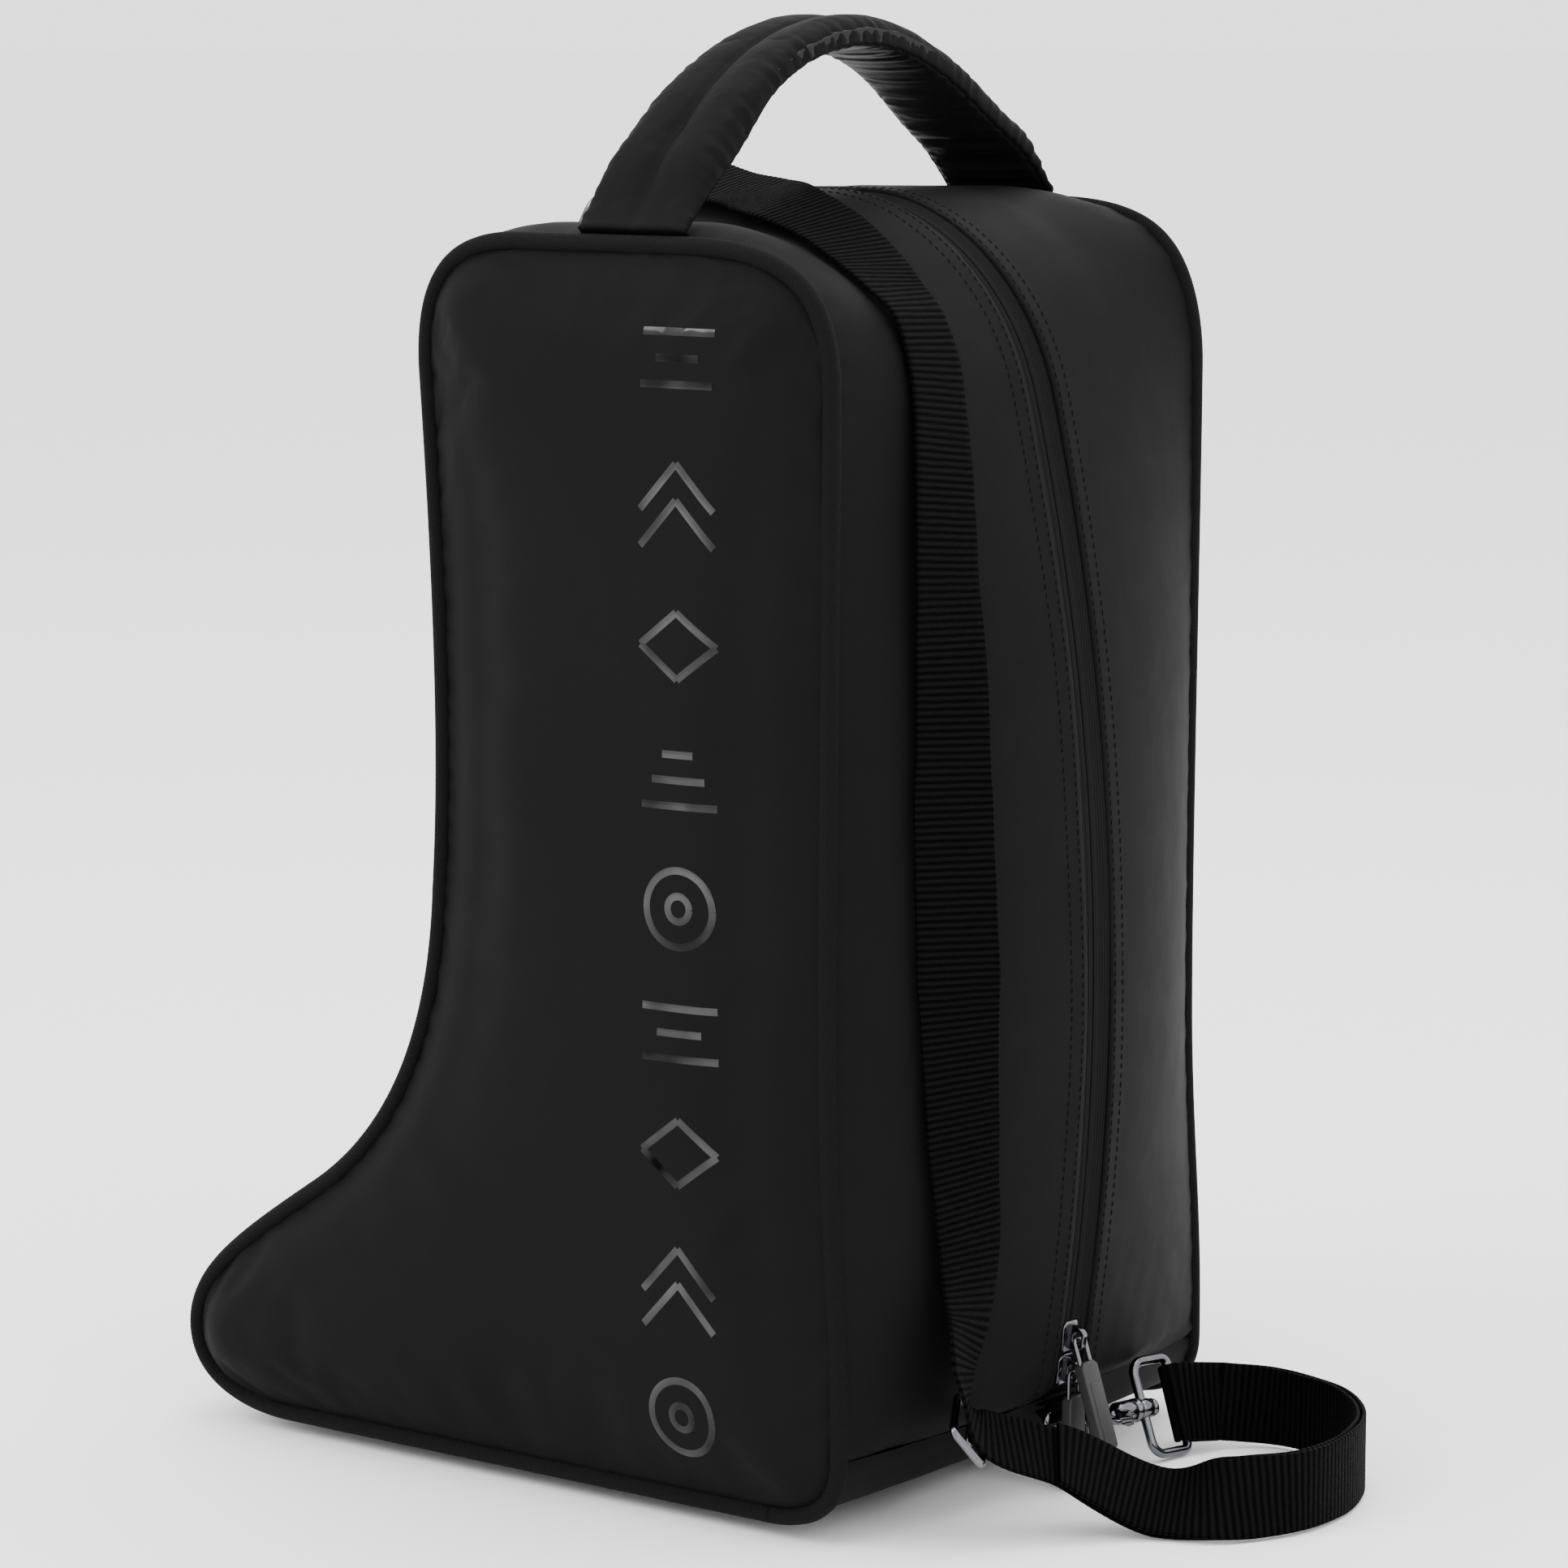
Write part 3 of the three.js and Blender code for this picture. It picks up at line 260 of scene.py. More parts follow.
class Nodes:
    """A new Principled material and short ways to add nodes to it."""

    def __init__(self, name, color, roughness, metallic=0.0, specular=0.5):
        self.material = bpy.data.materials.new(name)
        self.material.use_nodes = True
        self.tree = self.material.node_tree
        self.shader = self.tree.nodes["Principled BSDF"]
        self.put("Base Color", (*color, 1.0))
        self.put("Roughness", roughness)
        self.put("Metallic", metallic)
        self.put("Specular IOR Level", specular)

    def put(self, socket, value):
        self.shader.inputs[socket].default_value = value

    def add(self, kind, **inputs):
        node = self.tree.nodes.new(kind)
        for key, value in inputs.items():
            if hasattr(node, key):
                setattr(node, key, value)
                continue
            socket = node.inputs[key.replace("_", " ")]
            if isinstance(value, bpy.types.NodeSocket):
                self.tree.links.new(value, socket)
            else:
                socket.default_value = value
        return node

    def coords(self, source="Object", scale=(1, 1, 1), turn=0.0):
        base = self.add("ShaderNodeTexCoord").outputs[source]
        mapping = self.add("ShaderNodeMapping", Vector=base, Scale=scale)
        mapping.inputs["Rotation"].default_value = (0, 0, turn)
        return mapping.outputs["Vector"]

    def noise(self, scale, detail=3.0, source="Object", rough=0.5):
        return self.add(
            "ShaderNodeTexNoise", Vector=self.coords(source), Scale=scale, Detail=detail, Roughness=rough
        ).outputs["Fac"]

    def wave(self, pitch, turn=0.0, distort=0.0, source="UV", profile="SIN"):
        """Lines pitch metres apart; turn 0 has them across the U direction."""
        return self.add(
            "ShaderNodeTexWave",
            Vector=self.coords(source, turn=turn),
            wave_profile=profile,
            Scale=math.pi / (10 * pitch),
            Distortion=distort,
            Detail=1.0,
        ).outputs["Fac"]

    def math(self, operation, a, b=0.0):
        node = self.tree.nodes.new("ShaderNodeMath")
        node.operation = operation
        for socket, value in zip(node.inputs, (a, b)):
            if isinstance(value, bpy.types.NodeSocket):
                self.tree.links.new(value, socket)
            else:
                socket.default_value = value
        return node.outputs[0]

    def span(self, value, low, high):
        node = self.add("ShaderNodeMapRange", Value=value)
        node.inputs["To Min"].default_value = low
        node.inputs["To Max"].default_value = high
        return node.outputs["Result"]

    def mixed(self, fac, a, b):
        node = self.tree.nodes.new("ShaderNodeMix")
        node.data_type = "RGBA"
        self.tree.links.new(fac, node.inputs["Factor"])
        node.inputs[6].default_value = (*a, 1.0)
        node.inputs[7].default_value = (*b, 1.0)
        return node.outputs[2]

    def drive(self, socket, value):
        self.tree.links.new(value, self.shader.inputs[socket])

    def bump(self, *layers):
        """layers are (height, distance in metres) pairs, coarse first."""
        normal = None
        for height, distance in layers:
            node = self.add("ShaderNodeBump", Height=height)
            node.inputs["Distance"].default_value = distance
            node.inputs["Strength"].default_value = 1.0
            if normal is not None:
                self.tree.links.new(normal, node.inputs["Normal"])
            normal = node.outputs["Normal"]
        self.drive("Normal", normal)


def coated_fabric(name="coated_fabric", dark=0.003, light=0.0046):
    n = Nodes(name, (dark,) * 3, 0.6, specular=0.04)
    mottle = n.noise(9.0, 4.0)
    n.drive("Base Color", n.mixed(mottle, (dark,) * 3, (light,) * 3))
    n.drive("Roughness", n.span(n.noise(60.0, 5.0), 0.56, 0.68))
    weave = n.math("MULTIPLY", n.wave(0.00045), n.wave(0.00045, math.pi / 2))
    n.bump((n.noise(35.0, 3.0), 0.0004), (n.noise(900.0, 3.0), 0.00004), (weave, 0.000012))
    return n.material


def twill(name, pitch, color, turn=0.6, roughness=0.85):
    n = Nodes(name, color, roughness, specular=0.1)
    ribs = n.wave(pitch, turn, 0.4)
    bright = tuple(c * 3.0 for c in color)
    n.drive("Base Color", n.mixed(ribs, color, bright))
    n.bump((ribs, pitch * 0.35), (n.noise(2500.0, 2.0), 0.00005))
    return n.material


RIB_PITCH = 2.8  # of the ribs across the webbing, in millimetres


def webbing_cloth():
    n = Nodes("webbing", (0.002,) * 3, 0.62, specular=0.09)
    ribs = n.wave(RIB_PITCH / 1000, distort=0.5)
    warp = n.wave(0.00085, math.pi / 2)
    fine = n.wave(0.00075, 0.5, 1.0)
    weave = n.math("ADD", n.math("MULTIPLY", warp, 0.5), n.math("MULTIPLY", fine, 0.5))
    shade = n.math("MULTIPLY", ribs, n.span(weave, 0.45, 1.0))
    n.drive("Base Color", n.mixed(shade, (0.0008,) * 3, (0.0024,) * 3))
    n.drive("Roughness", n.span(n.noise(400.0), 0.55, 0.8))
    n.drive("Specular IOR Level", n.span(shade, 0.01, 0.05))
    n.bump((ribs, 0.0001), (weave, 0.0002), (n.noise(1500.0, 2.0), 0.0002))
    return n.material


def zip_cloth():
    n = Nodes("zip_tape", (0.002,) * 3, 0.85, specular=0.06)
    lines = n.wave(0.0011, math.pi / 2, 0.3)
    cross = n.wave(0.0007, 0.7, 1.5)
    weave = n.math("MULTIPLY", lines, cross)
    n.drive("Base Color", n.mixed(weave, (0.003,) * 3, (0.014,) * 3))
    n.bump((lines, 0.00015), (cross, 0.0001))
    return n.material


def gunmetal():
    n = Nodes("gunmetal", (0.13, 0.13, 0.14), 0.16, metallic=1.0)
    n.drive("Base Color", n.mixed(n.noise(150.0, 4.0), (0.09, 0.09, 0.1), (0.16, 0.16, 0.17)))
    n.drive("Roughness", n.span(n.noise(700.0, 6.0, rough=0.7), 0.10, 0.26))
    n.bump((n.noise(250.0, 2.0), 0.00006))
    return n.material


def rubber(name, color, roughness=0.55):
    n = Nodes(name, color, roughness, specular=0.4)
    n.drive("Roughness", n.span(n.noise(900.0, 4.0), roughness - 0.08, roughness + 0.1))
    n.drive("Base Color", n.mixed(n.noise(200.0, 3.0), color, tuple(c * 1.25 for c in color)))
    n.bump((n.noise(1800.0, 3.0), 0.00005))
    return n.material


def glossy_vinyl():
    n = Nodes("glossy_print", (0.0025,) * 3, 0.2, specular=0.28)
    n.drive("Roughness", n.span(n.noise(120.0, 4.0), 0.1, 0.24))
    n.drive("Specular IOR Level", n.span(n.noise(38.0, 2.0), -0.35, 1.1))
    n.bump((n.noise(35.0, 3.0), 0.0004), (n.noise(600.0, 3.0), 0.00003))
    return n.material


def lining_cloth():
    n = Nodes("lining_cloth", (0.004,) * 3, 0.45, specular=0.15)
    weave = n.math("MULTIPLY", n.wave(0.0004), n.wave(0.0004, math.pi / 2))
    n.drive("Base Color", n.mixed(n.noise(30.0), (0.003,) * 3, (0.006,) * 3))
    n.bump((n.noise(120.0, 4.0), 0.0004), (weave, 0.00002))
    return n.material


FABRIC = coated_fabric()
PIPING = twill("piping_twill", 0.0011, (0.0011,) * 3)
WEBBING = webbing_cloth()
TAPE = zip_cloth()
METAL = gunmetal()
RUBBER = rubber("pull_rubber", (0.015,) * 3)
FOOT = rubber("foot_rubber", (0.008,) * 3, 0.6)
VINYL = glossy_vinyl()
LINING = lining_cloth()
THREAD = twill("thread", 0.0004, (0.0014,) * 3, 0.7)
BOARD = rubber("board_sheet", (0.03,) * 3, 0.7)
FOAM = rubber("foam_sheet", (0.004,) * 3, 0.9)

# ---- strap: the cord comes first ---------------------------------------------------------------

WEBBING_HALF = 16.0
LAYER_STEP = 2.4
WRAP = 3.8
GLIDE_ROW = 20

# x, y, z of the middle line, then the direction across, from the upper eye to the lower eye
STRAP = [
    [0, -26, 525, 0.35, 0.92, 0.18],
    [20, -31, 520, 0.12, 0.95, 0.3],
    [38, -36, 518, 0.05, 0.95, 0.3],
    [63.5, -49, 514.5, 0.05, 0.94, 0.34],
    [89, -56, 506.5, 0, 0.95, 0.3],
    [111.5, -62, 495, 0, 0.97, 0.2],
    [127, -67, 485.5, 0, 0.99, 0.1],
    [139.5, -68, 475, 0, 1, 0],
    [148, -69, 457, 0.02, 1, 0],
    [152.5, -71, 439, 0.05, 1, 0],
    [156.5, -74, 418, 0.11, 0.99, 0],
    [162, -79, 376, 0.23, 0.97, 0],
    [166.5, -82, 332, 0.42, 0.9, 0],
    [170, -85.5, 285, 0.6, 0.8, 0],
    [174, -88, 231, 0.75, 0.62, 0],
    [172, -83, 191, 0.55, 0.83, 0],
    [170.5, -78, 150, 0.38, 0.92, -0.04],
    [170.5, -74, 112, 0.2, 0.97, -0.1],
    [171.5, -76, 88, -0.05, 0.98, -0.1],
    [175, -84, 66, -0.4, 0.88, 0.2],
    [181, -84, 46, -0.66, 0.6, 0.42],
    [203, -56, 30, -0.25, 0.88, 0.35],
    [231, -30, 11, -0.1, 0.83, 0.55],
    [258, -20, 15.4, -0.03, 0.4, 0.92],
    [274, 0, 16.8, 0, 0.05, 1],
    [276, 30, 16.8, 0, 0, 1],
    [266, 62, 16.8, 0, 0, 1],
    [247, 86, 16.8, 0, 0, 1],
    [222, 100, 16.8, 0, 0, 1],
    [200, 101, 17.2, -0.1, 0.05, 1],
    [184, 90, 19, -0.3, 0.1, 0.95],
]

# Hooks: the point of the ring's wire that the hook holds, and the way from it to the swivel.
HOOKS = {
    "lower": {
        "bar": [161.5, 8, 30],
        "hang": [0.1, 0, -0.995],
        "root": [153.8, 8, 31.4],
        "wire": [162.3, 22.75, 22.6],
        "to_stud": [0.2, 0.978, -0.05],
        "across": [0.391, -0.168, -0.905],
        "open": [1, 0, 0],
    },
    "upper": {
        "bar": [-73, 0, 495.3],
        "hang": [0.5, 0, 0.866],
        "root": [-67.3, 0, 490.2],
        "wire": [-61.5, 0, 495.3 + 0.866 * 23],
        "to_stud": [0.893, -0.416, 0.169],
        "across": [0.422, 0.906, 0],
        "open": [0, 0, 1],
    },
}
HOOK_WIRE = 32.0  # from the swivel to the ring's wire
EYE_DEPTH = 20.0


def eye_bar(hook):
    return np.array(hook["wire"], float) + unit(hook["to_stud"]) * (HOOK_WIRE + EYE_DEPTH)


def wrap_run(centre, across, incoming, count=14):
    """Middle line round an eye's wire, with the direction across, as the strap goes round it."""
    start = unit(np.cross(across, incoming))
    quarter = np.cross(-across, start)
    angles = np.linspace(0, 0.92 * math.pi, count)
    ring = [centre + WRAP * (math.cos(a) * start + math.sin(a) * quarter) for a in angles]
    return np.hstack([np.array(ring), np.tile(across, (count, 1))])


def webbing_grid(run, lift=0.0, thickness=1.6, rib=0.08):
    """A ribbed band with rounded edges along a run of points and directions across."""
    points, across = run[:, :3], run[:, 3:6]
    half = WEBBING_HALF
    t = thickness / 2
    top = [(u * half, t) for u in np.linspace(-0.97, 0.97, 12)]
    edge = [(half, t * 0.45), (half, -t * 0.45)]
    section = np.array(top + edge + [(-a, -b) for a, b in top] + [(-a, -b) for a, b in edge])
    length = run_lengths(points) * 1000
    ribs = -rib * np.cos(2 * math.pi * length / RIB_PITCH)
    wobble = 0.18 * np.sin(2 * math.pi * length / 61.0) + 0.1 * np.sin(length / 5.3)
    tangent = tangents(points)
    side = unit(across - (across * tangent).sum(-1, keepdims=True) * tangent)
    normal = np.cross(tangent, side)
    height = section[:, 1][None] + np.sign(section[:, 1])[None] * ribs[:, None]
    out = section[:, 0][None] * (1 + (wobble / half)[:, None])
    lifts = np.broadcast_to(np.asarray(lift, float), len(points))
    offset = points + normal * lifts[:, None]
    grid = offset[:, None] + out[..., None] * side[:, None] + height[..., None] * normal[:, None]
    around = np.concatenate([[0], np.cumsum(np.linalg.norm(np.diff(section, axis=0), axis=1))])
    return grid, uv_grid(length / 1000, around / 1000)


def capped(name, grid, material, uv):
    """A closed tube-like piece: a grid whose columns close, with its two ends filled."""
    rows, columns = grid.shape[:2]
    faces = grid_faces(rows, columns, closed_columns=True)
    faces.append(tuple(range(columns - 1, -1, -1)))
    faces.append(tuple(range((rows - 1) * columns, rows * columns)))
    obj = make_mesh(name, grid.reshape(-1, 3), faces, material, uv.reshape(-1, 2))
    bm = bmesh.new()
    bm.from_mesh(obj.data)
    bmesh.ops.recalc_face_normals(bm, faces=bm.faces)
    bm.to_mesh(obj.data)
    bm.free()
    return obj


strap_rows = np.array(STRAP, float)
strap_rows[:, 3:] = unit(strap_rows[:, 3:])
upper_bar = eye_bar(HOOKS["upper"])
lower_bar = eye_bar(HOOKS["lower"])
upper_across = unit(HOOKS["upper"]["across"])
lower_across = -unit(HOOKS["lower"]["across"])
leaving = unit(strap_rows[0, :3] - upper_bar)
arriving = unit(lower_bar - strap_rows[-1, :3])
strap_start = wrap_run(upper_bar, upper_across, -leaving)[::-1]
strap_end = wrap_run(lower_bar, lower_across, arriving)
strap_main = smooth_run(strap_rows, 1500)
strap_run = np.vstack([strap_start, strap_main, strap_end])
strap_even = smooth_run(strap_run, 2100)
grid, uv = webbing_grid(strap_even)
strap = capped("shoulder_strap", grid, WEBBING, uv)

cord_points = np.vstack(
    [upper_bar - WRAP * leaving, smooth_run(strap_rows, 37)[:, :3], lower_bar + WRAP * arriving]
)
cord_length = run_lengths(smooth_run(cord_points, 800))[-1]


# ---- hardware that the strap is threaded on ------------------------------------------------------


def basis(origin, x_direction, y_hint):
    """Matrix of a local frame in drawing millimetres, as the CAD's frames are made."""
    x = unit(x_direction)
    z = unit(np.cross(x, y_hint))
    y = np.cross(z, x)
    m = np.eye(4)
    m[:3, 0], m[:3, 1], m[:3, 2], m[:3, 3] = x, y, z, origin
    return m


def moved(points, matrix):
    p = np.asarray(points, float)
    return p @ matrix[:3, :3].T + matrix[:3, 3]


def rounded_frame(x0, x1, half, low, high, steps=8):
    """Points round a rectangle in the local XY plane with its own corner radius at each end."""
    out = []
    corners = [
        (x1 - high, half - high, high, 90),
        (x1 - high, high - half, high, 0),
        (x0 + low, low - half, low, -90),
        (x0 + low, half - low, low, -180),
    ]
    for cx, cy, r, start in corners:
        for a in np.radians(np.linspace(start, start - 90, steps)):
            out.append((cx + r * math.cos(a), cy + r * math.sin(a), 0.0))
    return even_loop(np.array(out), 96)


def even_loop(points, count):
    closed = np.vstack([points, points[:1]])
    length = run_lengths(closed)
    even = np.linspace(0, length[-1], count, endpoint=False)
    return np.stack([np.interp(even, length, closed[:, k]) for k in range(3)], 1)


def wire_loop(name, points, radius, matrix, material=METAL, count=14, squash=1.0):
    section = circle(radius, count) * np.array([squash, 1.0])
    up = np.broadcast_to(np.array([0, 0, 1.0]), points.shape)
    grid = sweep(points, up, section, closed=True)
    return grid_object(name, moved(grid, matrix), material, True, True)


def lathe(name, profile, matrix, material, count=32):
    """Turns (x, r) pairs about the local X axis."""
    profile = np.asarray(profile, float)
    a = np.linspace(0, 2 * math.pi, count, endpoint=False)
    grid = np.stack(
        [np.repeat(profile[:, :1], count, 1), profile[:, 1:] * np.cos(a), profile[:, 1:] * np.sin(a)],
        -1,
    )
    return capped(name, moved(grid, matrix), material, np.zeros((len(profile), count, 2)))


def extruded(name, outline, thickness, matrix, material, bevel=0.5, holes=(), segments=3):
    """A plate with rounded edges: a flat outline in the local XY plane, thickened about it."""
    bm = bmesh.new()
    loops = [outline, *holes]
    edges = []
    for loop in loops:
        verts = [bm.verts.new((x, y, -thickness / 2)) for x, y in loop]
        edges += [bm.edges.new((v, verts[(i + 1) % len(verts)])) for i, v in enumerate(verts)]
    bmesh.ops.triangle_fill(bm, use_beauty=True, use_dissolve=True, edges=edges)
    made = bmesh.ops.extrude_face_region(bm, geom=bm.faces[:])
    new = [v for v in made["geom"] if isinstance(v, bmesh.types.BMVert)]
    bmesh.ops.translate(bm, verts=new, vec=(0, 0, thickness))
    bmesh.ops.recalc_face_normals(bm, faces=bm.faces)
    if bevel:
        sharp = [e for e in bm.edges if len(e.link_faces) == 2 and e.calc_face_angle(0) > 0.9]
        bmesh.ops.bevel(bm, geom=sharp, offset=bevel, segments=segments, affect="EDGES", profile=0.5)
    mesh = bpy.data.meshes.new(name)
    bm.to_mesh(mesh)
    bm.free()
    co = np.array([v.co for v in mesh.vertices])
    mesh.vertices.foreach_set("co", metres(moved(co, matrix)).ravel())
    mesh.update()
    return link(name, mesh, material)


def arc(cx, cy, radius, start, end, count):
    a = np.radians(np.linspace(start, end, count))
    return [(cx + radius * math.cos(t), cy + radius * math.sin(t)) for t in a]


def hook_parts(place, hook):
    along = unit(hook["to_stud"])
    stud = np.array(hook["wire"], float) + along * HOOK_WIRE
    local = basis(stud, -along, hook["open"])
    swivel = basis(stud, -along, hook["across"])
    bow = np.array([(x, y, 0) for x, y in arc(28.5, 0, 9.25, 168, 410, 60)])
    neck = np.array([(15.5, 0.6, 0), (17.5, 1.2, 0)])
    run = smooth_run(np.vstack([neck, bow]), 90)
    up = np.broadcast_to(np.array([0, 0, 1.0]), run.shape)
    width = np.interp(np.linspace(0, 1, 90), [0, 0.12, 0.8, 1], [2.9, 2.5, 2.2, 1.7])
    grid = sweep(run, up, circle(1.0, 16))
    grid = run[:, None] + (grid - run[:, None]) * width[:, None, None]
    bow_part = capped("bow", moved(grid, local), METAL, np.zeros((90, 16, 2)))
    profile = [(3.6, 2.6), (3.6, 4.4), (4.2, 5), (5.6, 5), (6, 4.4), (6.6, 4.3), (7, 4.8)]
    profile += [(12.5, 4.6), (13.6, 4.2), (14.2, 4.6), (15.4, 4.5), (16.6, 3.6), (18, 2.4)]
    barrel = lathe("barrel", profile, local, METAL, 40)
    ear_outline = [(13.6, 2)] + arc(17.5, 8.6, 2.6, 170, 10, 12) + [(20.2, 4), (19, 0.5), (14, 0)]
    ears = [extruded("ear", ear_outline, 1.1, local @ offset((0, 0, z)), METAL, 0.25) for z in (-1.95, 1.95)]
    head = lathe("pin_head", [(-0.1, 0.1), (0, 1.5), (0.5, 1.2), (0.6, 0.1)], swap(local, 2.5), METAL)
    joined(
        f"hook_{place}_body",
        [bow_part, barrel, *ears, head],
        f"hook_{place}",
        "gunmetal",
        f"hook_body_{place}",
    )
    gate_outline = arc(17.5, 9, 1.9, 270, 90, 10)
    gate_outline += [(23.6, 10.3), (24.6, 12.3), (25.8, 12.8), (27.0, 12.2), (28.2, 10.0)]
    gate_outline += [(33, 9.3), (33, 7.2)]
    gate = extruded(f"hook_{place}_gate", gate_outline, 2.2, local, METAL, 0.45)
    placed(gate, f"gate_{place}", "gunmetal", f"hook_gate_{place}")
    stud_part = lathe(
        f"stud_{place}",
        [(-6.6, 0.2), (-6.6, 2.6), (-6.1, 3.5), (-5.2, 3.8), (-4.4, 3.8), (-3.9, 3.3), (-3.5, 2)]
        + [(3, 2), (8.6, 2), (9, 1.6), (9, 0.2)],
        local,
        METAL,
    )
    placed(stud_part, "bag", "gunmetal", f"swivel_stud_{place}")
    loop = wire_loop("eye", rounded_frame(-EYE_DEPTH, 0, 19.5, 3.2, 5.5), 2.0, swivel)
    boss = lathe(
        "boss",
        [(-3, 2.5), (-3, 3.6), (-2.4, 4.2), (2.4, 4.2), (3, 3.6), (3, 2.5)],
        local,
        METAL,
        36,
    )
    joined(f"eye_{place}", [loop, boss], "bag", "gunmetal", f"swivel_eye_{place}")


def offset(vector):
    m = np.eye(4)
    m[:3, 3] = vector
    return m


def swap(matrix, height):
    """Local frame with its X axis along the old Z, at the gate's pivot."""
    m = np.eye(4)
    m[:3, 0], m[:3, 1], m[:3, 2] = (0, 0, 1), (0, 1, 0), (-1, 0, 0)
    m[:3, 3] = (17.5, 9, height)
    return matrix @ m


def ring_parts(place, hook):
    local = basis(hook["bar"], hook["hang"], [0, 1, 0])
    ring = wire_loop(f"ring_{place}", rounded_frame(0, 23, 14.75, 2.5, 9), 1.75, local, count=16)
    placed(ring, f"d_ring_{place}", "gunmetal", f"d_ring_{place}")
    out = np.array(hook["bar"], float) - np.array(hook["root"], float)
    reach = np.linalg.norm(out)
    tab = basis(hook["bar"], -out, [0, 1, 0])
    section = [(reach - 0.6, 1.3), (4.6, 2.6)]
    section += arc(0, 0, 3.3, 60, 300, 14)
    section += [(4.6, -2.6), (reach - 0.6, -1.3)]
    run = np.array([(x, 0, z) for x, z in section])
    frames = np.hstack([moved(run, tab), np.tile(unit([0, 1, 0]), (len(run), 1))])
    even = smooth_run(frames, 120)
    grid, uv = webbing_grid(even, thickness=1.2, rib=0.07)
    centre = moved([[0, 0, 0]], tab)[0]
    grid[..., 1] = centre[1] + (grid[..., 1] - centre[1]) * (11.3 / WEBBING_HALF)
    band = capped(f"ring_tab_{place}", grid, WEBBING, uv)
    placed(band, "bag", "webbing", f"d_ring_tab_{place}")


for place, hook in HOOKS.items():
    hook_parts(place, hook)
    ring_parts(place, hook)

# the second layer, from the tri-glide to the lower eye
fine_rows = smooth_run(strap_rows, 1500)
row_place = [np.argmin(np.linalg.norm(fine_rows[:, :3] - r[:3], axis=1)) for r in strap_rows]
layer = fine_rows[row_place[GLIDE_ROW + 1] - 6 :]
layer = np.vstack([layer, np.concatenate([lower_bar + -4 * arriving, lower_across])])
layer = smooth_run(layer, 560)
lifts = LAYER_STEP + 1.4 * np.clip((np.arange(560) - 520) / 40, 0, 1) ** 2
grid, uv = webbing_grid(layer, lifts)
second_layer = capped("strap_second_layer", grid, WEBBING, uv)
placed(second_layer, "bag", "webbing", "strap_return")

glide_at = fine_rows[row_place[GLIDE_ROW]]
glide_along = unit(fine_rows[row_place[GLIDE_ROW] + 12, :3] - fine_rows[row_place[GLIDE_ROW] - 12, :3])
glide_across = unit(glide_at[3:] - glide_along * (glide_at[3:] @ glide_along))
glide_out = np.cross(glide_along, glide_across)
glide_frame = basis(glide_at[:3] - 3.2 * glide_out, glide_along, glide_across)
glide_loop = wire_loop("glide", rounded_frame(-9, 9, 18.5, 3, 3), 1.6, glide_frame)
bar_frame = glide_frame @ np.array([[0, -1, 0, 0], [1, 0, 0, 0], [0, 0, 1, 0], [0, 0, 0, 1]], float)
glide_bar = lathe("glide_bar", [(-18, 0.3), (-18, 1.5), (18, 1.5), (18, 0.3)], bar_frame, METAL, 20)
tri_glide = joined("strap_adjuster", [glide_loop, glide_bar], "bag", "gunmetal", "tri_glide")

placed(strap, "bag", "webbing", "strap_webbing")

# ---- outline of the boot ---------------------------------------------------------------------------

FOOT_HEIGHT = 5.0
TOP = 505.0
SEAM_Y = 126.5
PIPING_RADIUS = 4.0
DOME = 11.0
HEEL_SEAM = 34.0
ZIP_CENTRE = (-768.5, 205.0)
ZIP_RADIUS = 950.0


def zip_x(z):
    return ZIP_CENTRE[0] + math.sqrt(ZIP_RADIUS**2 - (z - ZIP_CENTRE[1]) ** 2)


def line(p, q):
    p, q = np.array(p, float), np.array(q, float)
    return lambda t: p + (q - p) * t[:, None]


def bezier(a, b, c, d):
    a, b, c, d = (np.array(v, float) for v in (a, b, c, d))

    def at(t):
        t = t[:, None]
        s = 1 - t
        return a * s**3 + 3 * b * s * s * t + 3 * c * s * t * t + d * t**3

    return at


def zip_arc(z0, z1):
    a0, a1 = (math.asin((z - ZIP_CENTRE[1]) / ZIP_RADIUS) for z in (z0, z1))

    def at(t):
        a = a0 + (a1 - a0) * t
        x = ZIP_CENTRE[0] + ZIP_RADIUS * np.cos(a)
        return np.stack([x, ZIP_CENTRE[1] + ZIP_RADIUS * np.sin(a)], 1)

    return at


F, B = FOOT_HEIGHT, FOOT_HEIGHT + 1
